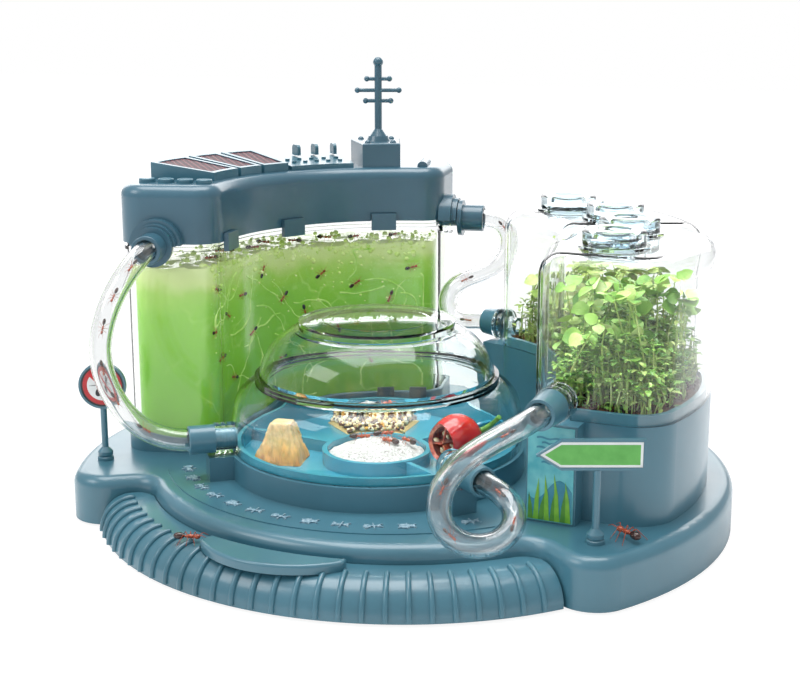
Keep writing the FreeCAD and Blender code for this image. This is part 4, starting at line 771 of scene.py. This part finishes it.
seeds = gatherCopies("seeds", seed, places)
discard(seed)
seedBed = copyOfNode("seed_heap", "seedBed")
for vertex in seedBed.data.vertices:
    vertex.co.z = lowest + (vertex.co.z - trayFloor) * heap["bedShare"]
seedBed.data.materials.append(seedTones[0])
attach(settle(seedBed), "habitat")
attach(seeds, "habitat")
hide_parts("seed_heap")

fruit = copyOfNode("fruit_wedge", "fruit")
remesh(fruit, tray["voxel"] * mm)
smooth = fruit.modifiers.new("soften", "SMOOTH")
smooth.iterations = 6
applyModifiers(fruit)
for vertex in fruit.data.vertices:
    rise = vertex.co.z - trayFloor
    if rise > 0.0006:
        upright = Vector((vertex.co.x, vertex.co.y, vertex.co.z * 0.3))  # fibres run up and down
        swell = noise.noise(vertex.co * 90) * 1.1 + noise.noise(upright * 520) * 0.35
        vertex.co += vertex.normal * (swell - 0.4) * mm
    vertex.co.z = max(trayFloor + 0.82 * (vertex.co.z - trayFloor), lowest)
fruit.data.materials.append(fruitFlesh)
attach(settle(fruit, 60), "habitat")
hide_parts("fruit_wedge")

pepperShape = {  # millimetres; the stalk's points are x, y, z and radius
    "place": (33.2, -28.3, 45.0), "along": (0.5, 0.85, 0.12), "wide": 12.2, "halfLong": 14.6, "middle": 10.0,
    "wall": 2.0, "seeds": 16, "ribs": (0.4, 2.5, 4.6), "sepals": 5,
    "stalk": ((0, 0, 23.0, 2.4), (0.2, -0.6, 25.6, 1.7), (0.6, -1.9, 28.2, 1.45), (1.3, -4.2, 30.4, 1.3),
              (2.3, -7.4, 31.7, 1.25), (3.5, -11.2, 32.0, 1.4)),
}
bpy.ops.mesh.primitive_uv_sphere_add(segments=48, ring_count=28, radius=1.0)
body = nameActive("pepper_body")
for vertex in body.data.vertices:
    turn = math.atan2(vertex.co.y, vertex.co.x)
    lobes = 1 + 0.035 * math.cos(3 * turn) * (1 - abs(vertex.co.z)) + 0.015 * math.sin(5 * turn)
    dimple = 0.1 * max(0.0, vertex.co.z - 0.8) * 5
    across = lobes * pepperShape["wide"]
    vertex.co = Vector((vertex.co.x * across, vertex.co.y * across,
                        pepperShape["middle"] + (vertex.co.z - dimple) * pepperShape["halfLong"])) * mm
editAll(body)
bpy.ops.mesh.bisect(plane_co=(0, 0, 0.0005), plane_no=(0, 0.18, 1), clear_inner=True, use_fill=False)
bpy.ops.object.mode_set(mode="OBJECT")
body.data.materials.append(pepperSkin)
body.data.materials.append(pepperFlesh)
skin = body.modifiers.new("flesh wall", "SOLIDIFY")
skin.thickness = pepperShape["wall"] * mm
skin.offset = -1
skin.material_offset = 1
skin.material_offset_rim = 1
applyModifiers(body)
inner = []
for count in range(pepperShape["seeds"]):  # seeds inside the cut
    turn, far, deep = dice.uniform(0, 6.28), dice.uniform(2, 8.5), dice.uniform(1.5, 7)
    bpy.ops.mesh.primitive_uv_sphere_add(
        segments=10, ring_count=6, radius=1.0, location=polar(far, math.degrees(turn), deep),
        rotation=(dice.uniform(0, 3), dice.uniform(0, 3), 0), scale=(1.5 * mm, 1.3 * mm, 0.5 * mm))
    inner.append(bpy.context.active_object)
    inner[-1].data.materials.append(seedTones[1])
for turn in pepperShape["ribs"]:  # membranes from the middle to the wall
    bpy.ops.mesh.primitive_cube_add(
        size=1, location=polar(5.3, math.degrees(turn), 7.2), rotation=(0, 0, turn),
        scale=(9.5 * mm, 0.9 * mm, 11 * mm))
    inner.append(bpy.context.active_object)
    softEdge = inner[-1].modifiers.new("soft edge", "BEVEL")
    softEdge.width = 0.4 * mm
    softEdge.segments = 3
    applyModifiers(inner[-1])
    inner[-1].data.materials.append(pepperFlesh)
for part in inner:
    selectOnly(part)
    bpy.ops.object.transform_apply(location=True, rotation=True, scale=True)
calyx = []
for count in range(pepperShape["sepals"]):
    tip = polar(6.4, count * 360 / pepperShape["sepals"], 22.6)
    calyx.append(rod((0, 0, 23.6 * mm), tip, 2.2 * mm, 8, 0.5 * mm))
for low, high in zip(pepperShape["stalk"], pepperShape["stalk"][1:]):
    calyx.append(rod(Vector(low[:3]) * mm, Vector(high[:3]) * mm, low[3] * mm, 12, high[3] * mm))
for part in calyx:
    selectOnly(part)
    bpy.ops.object.transform_apply(location=True, rotation=True, scale=True)
stalk = joinPieces(calyx, "pepper_stalk")
stalk.data.materials.clear()
stalk.data.materials.append(stalkGreen)
remesh(stalk, 0.45 * mm)
smooth = stalk.modifiers.new("soften", "SMOOTH")
smooth.iterations = 5
applyModifiers(stalk)
pepperStand = Matrix.Translation(Vector(pepperShape["place"]) * mm) @ Vector((0, 0, 1)).rotation_difference(
    Vector(pepperShape["along"])).to_matrix().to_4x4()
pepperPiece = joinPieces([body] + inner, "pepper_body")
for piece in (pepperPiece, stalk):
    piece.data.transform(pepperStand)
    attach(settle(piece, 55), "habitat")
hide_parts("pepper")
print("food laid out")


# soil and seedlings in the pots

potSetup = {  # radii and heights in millimetres, angles in degrees round the base
    "front": {"inner": 80.0, "outer": 157.0, "face": -51.0, "corner": (90.5, -51.0), "far": 21.5,
              "search": (-30, 22), "stems": 64, "tufts": 2400, "top": 134.0,
              "tones": (leafBright, leafPaintedShade, leafPaintedLight)},
    "rear": {"inner": 80.0, "outer": 157.0, "near": 26.5, "far": 75.0, "search": (27, 75),
             "stems": 60, "tufts": 1600, "top": 132.0, "tones": (leafRearPale, leafRearPaintedShade, leafRearPale)},
}
soilSetup = {"voxel": 1.7, "level": 75.6, "skin": 74.4, "heapAt": (96, -30), "heapRadius": 26,
             "heapRise": 5.0, "crumbs": 340}
plantSetup = {  # millimetres; margins are distances to the jar's wall
    "stemMargin": 10, "tuftMargin": 8, "tipMargin": 9, "leafMargin": 4, "ceiling": 141, "spread": 12,
    "crownLeaf": (5.5, 10.5), "sideLeaf": (3.0, 5.4), "tuftLeaf": (2.4, 4.8),
    "sidePlaces": (0.35, 0.5, 0.62, 0.74, 0.86)}


def roomInPot(side, x, y):  # distance to the nearest jar wall, in millimetres
    pot = potSetup[side]
    radius, degrees = math.hypot(x, y), math.degrees(math.atan2(y, x))
    room = [radius - pot["inner"], pot["outer"] - radius,
            radius * math.sin(math.radians(pot["far"] - degrees))]
    if side == "rear":
        room.append(radius * math.sin(math.radians(degrees - pot["near"])))
    else:
        room.append(y - pot["face"])
        room.append((x - pot["corner"][0]) * 0.966 + (y - pot["corner"][1]) * 0.26)
    return min(room)


def spotInPot(side, margin):
    while True:
        radius, degrees = dice.uniform(82, 155), dice.uniform(*potSetup[side]["search"])
        x, y = radius * math.cos(math.radians(degrees)), radius * math.sin(math.radians(degrees))
        if roomInPot(side, x, y) > margin:
            return x, y


def soilHeight(x, y):
    rolls = 2.2 * noise.noise(Vector((x, y, 0)) * 0.06) + 1.0 * noise.noise(Vector((x, y, 3)) * 0.25)
    return soilSetup["level"] + rolls


def soilLift(side, x, y):  # the front pot's soil is heaped beside its hose port
    if side == "rear":
        return 1.0
    away = math.hypot(x - soilSetup["heapAt"][0], y - soilSetup["heapAt"][1])
    return soilSetup["heapRise"] * max(0.0, 1 - away / soilSetup["heapRadius"])


def makeSoil(side):
    soil = copyOfNode(side + "_soil", side + "_soil_loose")
    remesh(soil, soilSetup["voxel"] * mm)
    for vertex in soil.data.vertices:
        x, y, z = vertex.co / mm
        if z > soilSetup["skin"]:
            crumble = noise.noise(vertex.co * 700) * 0.6
            vertex.co.z = (soilHeight(x, y) + soilLift(side, x, y) + crumble) * mm
    soil.data.materials.append(peatSoil)
    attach(settle(soil, 60), "habitat")
    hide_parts(side + "_soil")
    bpy.ops.mesh.primitive_ico_sphere_add(subdivisions=1, radius=1.0)
    crumb = nameActive("crumbModel")
    for vertex in crumb.data.vertices:
        vertex.co *= 1 + 0.5 * noise.noise(vertex.co * 2.3)
    crumb.data.materials.append(peatSoil)
    places = []
    for count in range(soilSetup["crumbs"]):
        x, y = spotInPot(side, 7)
        size = dice.uniform(0.5, 1.5) * mm
        spot = Vector((x, y, soilHeight(x, y) + soilLift(side, x, y) + 0.2)) * mm
        places.append((placed(spot, facing((dice.uniform(-1, 1), dice.uniform(-1, 1), 1)), size), None))
    crumbs = gatherCopies(side + "_soil_crumbs", crumb, places)
    discard(crumb)
    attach(crumbs, "habitat")


def modelLeaf(tones, droop, fold, pinch):  # one unit long, root at the origin, along +Y
    bpy.ops.mesh.primitive_grid_add(x_subdivisions=2, y_subdivisions=5, size=1)
    leaf = nameActive("leafModel")
    for vertex in leaf.data.vertices:
        across, along = vertex.co.x * 2, vertex.co.y + 0.5
        half = 0.5 * max(0.0, math.sin(math.pi * along ** pinch)) ** 0.7
        vertex.co = Vector((across * half, along, fold * abs(across) * half - droop * along * along))
    for material in tones:
        leaf.data.materials.append(material)
    return leaf


def stemRings(rings, points, radii, sides=5):  # a thin bent stem, added to an open mesh
    turns = [math.tau * s / sides for s in range(sides)]
    circle = [Vector((math.cos(turn), math.sin(turn), 0)) for turn in turns]
    last = None
    for number, (point, radius) in enumerate(zip(points, radii)):
        along = (points[min(number + 1, len(points) - 1)] - points[max(number - 1, 0)]).normalized()
        turn = along.to_track_quat("Z", "Y")
        ring = [rings.verts.new(point + turn @ (corner * radius)) for corner in circle]
        if last:
            for s in range(sides):
                rings.faces.new((last[s], last[(s + 1) % sides], ring[(s + 1) % sides], ring[s]))
        last = ring
    rings.faces.new(last)


def alongStem(foot, knee, tip, share):
    return foot * (1 - share) ** 2 + knee * 2 * share * (1 - share) + tip * share * share


def growPlants(side):
    pot = potSetup[side]
    roundLeaf = modelLeaf(pot["tones"], 0.18, 0.14, 0.8)
    longLeaf = modelLeaf(pot["tones"], 0.3, 0.3, 1.0)
    rings = bmesh.new()
    broad, slim = [], []
    for count in range(pot["stems"]):
        x, y = spotInPot(side, plantSetup["stemMargin"])
        foot = Vector((x, y, soilHeight(x, y) - 0.5))
        grow = dice.uniform(0.3, 1.0) ** 0.7
        tip = None
        while tip is None or roomInPot(side, tip.x, tip.y) < plantSetup["tipMargin"]:
            sway = dice.gauss(0, plantSetup["spread"]), dice.gauss(0, plantSetup["spread"])
            tip = foot + Vector((*sway, (pot["top"] - 4 - foot.z) * grow))
        knee = foot.lerp(tip, 0.5) + Vector((dice.gauss(0, 2.5), dice.gauss(0, 2.5), 4))
        points = [alongStem(foot, knee, tip, s / 7) for s in range(8)]
        stemRings(rings, [p * mm for p in points], [(0.62 - 0.04 * s) * mm for s in range(8)])
        spin = dice.uniform(0, 6.28)
        for number in range(dice.choice((2, 3, 3, 4))):  # crown of broad leaves
            away = spin + number * 2.1 + dice.uniform(-0.3, 0.3)
            size = dice.uniform(*plantSetup["crownLeaf"])
            reach = Vector((math.cos(away), math.sin(away), dice.uniform(-0.5, 0.9)))
            end = tip + reach * size
            if roomInPot(side, end.x, end.y) < plantSetup["leafMargin"] or end.z > plantSetup["ceiling"]:
                size *= 0.6
            turn = reach.to_track_quat("Y", "Z").to_matrix() @ Matrix.Rotation(dice.gauss(0, 0.7), 3, "Y")
            # crowns mostly take tone 0 and tone 2 (in the front pot the pale copy that paints light); tone 1,
            # the darker copy that paints shade, is rare here
            broad.append((placed((tip + reach * 0.3) * mm, turn, Vector((0.92, 1, 1)) * size * mm),
                          dice.choices((0, 1, 2), (5, 1, 3))[0]))
        for t in plantSetup["sidePlaces"]:  # paired leaves up the stem
            at = alongStem(foot, knee, tip, t)
            away = spin + t * 9
            for flip in (0, math.pi):
                size = dice.uniform(*plantSetup["sideLeaf"])
                reach = Vector((math.cos(away + flip), math.sin(away + flip), dice.uniform(-0.2, 0.6)))
                end = at + reach * size
                if roomInPot(side, end.x, end.y) > plantSetup["leafMargin"]:
                    turn = reach.to_track_quat("Y", "Z").to_matrix()
                    slim.append((placed(at * mm, turn, Vector((0.7, 1, 1)) * size * mm),
                                 dice.choices((0, 1, 2), (5, 3, 2))[0]))
    for count in range(pot["tufts"]):  # dense small foliage near the soil
        x, y = spotInPot(side, plantSetup["tuftMargin"])
        uneven = 0.75 + 0.35 * noise.noise(Vector((x, y, 9)) * 0.05)
        crown = 8 + 34 * min(1, roomInPot(side, x, y) / 20) * uneven
        height = soilHeight(x, y) + crown * dice.uniform(0.02, 1.0) ** 0.75
        away = dice.uniform(0, 6.28)
        reach = Vector((math.cos(away), math.sin(away), dice.uniform(-0.3, 1.0)))
        size = dice.uniform(*plantSetup["tuftLeaf"])
        turn = reach.to_track_quat("Y", "Z").to_matrix()
        # low tufts mostly take tone 1, the darker copy that paints shade
        slim.append((placed(Vector((x, y, height)) * mm, turn, Vector((0.62, 1, 1)) * size * mm),
                     dice.choices((0, 1, 2), (4, 5, 2))[0]))
        if count % 5 == 0:
            low = Vector((x, y, soilHeight(x, y) - 0.5))
            high = Vector((x, y, height))
            middle = low.lerp(high, 0.5) + Vector((dice.gauss(0, 1.2), dice.gauss(0, 1.2), 0))
            stemRings(rings, [low * mm, middle * mm, high * mm], [0.45 * mm, 0.4 * mm, 0.25 * mm], 4)
    stems = bpy.data.meshes.new(side + "_stems")
    rings.to_mesh(stems)
    rings.free()
    stems.materials.append(stemPale)
    stemPiece = addObject(side + "_stems", stems)
    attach(settle(stemPiece, 60), "habitat")
    crownLeaves = gatherCopies(side + "_broad_leaves", roundLeaf, broad)
    lowLeaves = gatherCopies(side + "_small_leaves", longLeaf, slim)
    for piece in (crownLeaves, lowLeaves):
        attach(piece, "habitat")
    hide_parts(side + "_plants")
    discard(roundLeaf)
    discard(longLeaf)


for side in ("front", "rear"):
    makeSoil(side)
    growPlants(side)
    print(side, "pot planted")


# signs: faces printed inside the moulded frames

signSetup = {  # millimetres and degrees; outline is across and up, its point to the left
    "turn": -65.0, "depth": 0.75, "left": (-140.2, -67.8, 66.0), "right": (129.6, -76.6, 67.0), "disc": 11.1,
    "bar": (18.5, 2.0, 0.3), "insect": 0.0135,
    "outline": ((-25.4, 0), (-16.4, -5.75), (19.75, -5.75), (19.75, 5.75), (-16.4, 5.75))}


def signStand(place):  # sign frame: +X out of the face, +Y to the right of someone who reads it
    turn = Matrix.Rotation(math.radians(signSetup["turn"]), 4, "Z")
    return Matrix.Translation(Vector(place) * mm) @ turn @ Matrix.Translation((signSetup["depth"] * mm, 0, 0))


# what is drawn flat in XY stands up to face +X
toFace = Matrix(((0, 0, 1, 0), (1, 0, 0, 0), (0, 1, 0, 0), (0, 0, 0, 1)))

bpy.ops.mesh.primitive_circle_add(vertices=72, radius=signSetup["disc"] * mm, fill_type="NGON")
ban = nameActive("leftSignFace")
for material in (printBlack, printRed, printWhite):
    ban.data.materials.append(material)
editFaces(ban, lambda face: True)
for width, tone in ((0.9, 1), (2.3, 2)):
    bpy.ops.mesh.inset(thickness=width * mm)
    ban.active_material_index = tone
    bpy.ops.object.material_slot_assign()
bpy.ops.mesh.extrude_region_move(TRANSFORM_OT_translate={"value": (0, 0, 0.02 * mm)})
bpy.ops.object.mode_set(mode="OBJECT")
bpy.ops.mesh.primitive_cube_add(size=1, location=(0, 0, 0.35 * mm), rotation=(0, 0, math.radians(-45)),
                                scale=[c * mm for c in signSetup["bar"]])
bar = nameActive("leftSignBar")
edge = bar.modifiers.new("edge", "BEVEL")
edge.width = 0.1 * mm
edge.segments = 2
applyModifiers(bar)
bar.data.materials.append(printRed)
selectOnly(bar)
bpy.ops.object.transform_apply(location=True, rotation=True, scale=True)
beetle = addObject("leftSignInsect", ant.data.copy())
beetle.data.transform(placed(Vector((0.2, 0, 0.06)) * mm, Matrix.Rotation(math.radians(60), 3, "Z"),
                             (signSetup["insect"], signSetup["insect"], 0.6 * mm)))
beetle.data.materials.clear()
beetle.data.materials.append(printBlack)
for piece in (ban, bar, beetle):
    piece.data.transform(signStand(signSetup["left"]) @ toFace)
    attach(settle(piece, 30), "left_sign")

bpy.ops.mesh.primitive_circle_add(vertices=5, radius=1.0 * mm, fill_type="NGON")
arrow = nameActive("rightSignFace")
for vertex, (across, up) in zip(arrow.data.vertices, signSetup["outline"]):
    vertex.co = Vector((across, up, 0)) * mm
arrow.data.update()
for material in (printWhite, printGreen):
    arrow.data.materials.append(material)
editFaces(arrow, lambda face: True)
bpy.ops.mesh.normals_make_consistent(inside=False)
bpy.ops.mesh.inset(thickness=1.15 * mm)
arrow.active_material_index = 1
bpy.ops.object.material_slot_assign()
bpy.ops.mesh.extrude_region_move(TRANSFORM_OT_translate={"value": (0, 0, 0.1 * mm)})
bpy.ops.object.mode_set(mode="OBJECT")
if arrow.data.polygons[0].normal.z < 0:
    arrow.data.flip_normals()
arrow.data.transform(signStand(signSetup["right"]) @ toFace)
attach(settle(arrow, 30), "right_sign")
discard(ant)
print("signs printed")


# picture on the pot's port block: hills, reeds and ripples of no one's design

pictureSetup = {  # left, front and lower edge of the panel, then reeds as across, tall and lean
    "left": 92.2, "front": -61.95, "low": 27.2,
    "reeds": ((1.6, 13, -0.8), (4.2, 20, 1.2), (6.6, 15, 2.4), (9.5, 22, -1.0), (12.2, 17, 1.6),
              (14.6, 23, -1.8), (17.2, 16, 1.0), (19.8, 20, -1.6)), "ripples": 6}


def pictureShape(name, outline, lift, material):
    bpy.ops.mesh.primitive_circle_add(vertices=len(outline), radius=1.0 * mm, fill_type="NGON")
    shape = nameActive(name)
    for vertex, (across, up) in zip(shape.data.vertices, outline):
        vertex.co = Vector((pictureSetup["left"] + across, pictureSetup["front"] - lift,
                            pictureSetup["low"] + up)) * mm
    shape.data.materials.append(material)
    editAll(shape)
    bpy.ops.mesh.extrude_region_move(TRANSFORM_OT_translate={"value": (0, -0.1 * mm, 0)})
    bpy.ops.mesh.select_all(action="SELECT")
    bpy.ops.mesh.normals_make_consistent(inside=False)
    bpy.ops.object.mode_set(mode="OBJECT")
    return shape


shapes = []
hill = [(0.2, 0.2), (21.4, 0.2)] + [(21.4 - s * 1.06, 15 + 5 * math.sin(s * 0.28)) for s in range(21)]
shapes.append(pictureShape("hill", hill, 0.0, printTeal))
for number, (across, tall, lean) in enumerate(pictureSetup["reeds"]):
    blade = [(across - 1.3, 0.3), (across + 1.3, 0.3), (across + 1.0 + lean * 0.4, tall * 0.55),
             (across + lean, tall), (across - 0.9 + lean * 0.3, tall * 0.5)]
    green = printReed if number % 2 else printReedDeep
    shapes.append(pictureShape("reed", blade, 0.1 + 0.1 * (number % 2), green))
for number in range(pictureSetup["ripples"]):  # alternating in length
    left, right = (4.0, 19.0) if number % 2 else (6.5, 16.5)
    low = 27.5 + 2.3 * number
    wave = [(left + (right - left) * s / 12, low + 0.35 * math.sin(s)) for s in range(13)]
    shapes.append(pictureShape("ripple", wave + [(a, b + 0.9) for a, b in reversed(wave)], 0.0, printTeal))
picture = joinPieces(shapes, "potPicture")
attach(settle(picture, 30), "habitat")
print("picture printed")
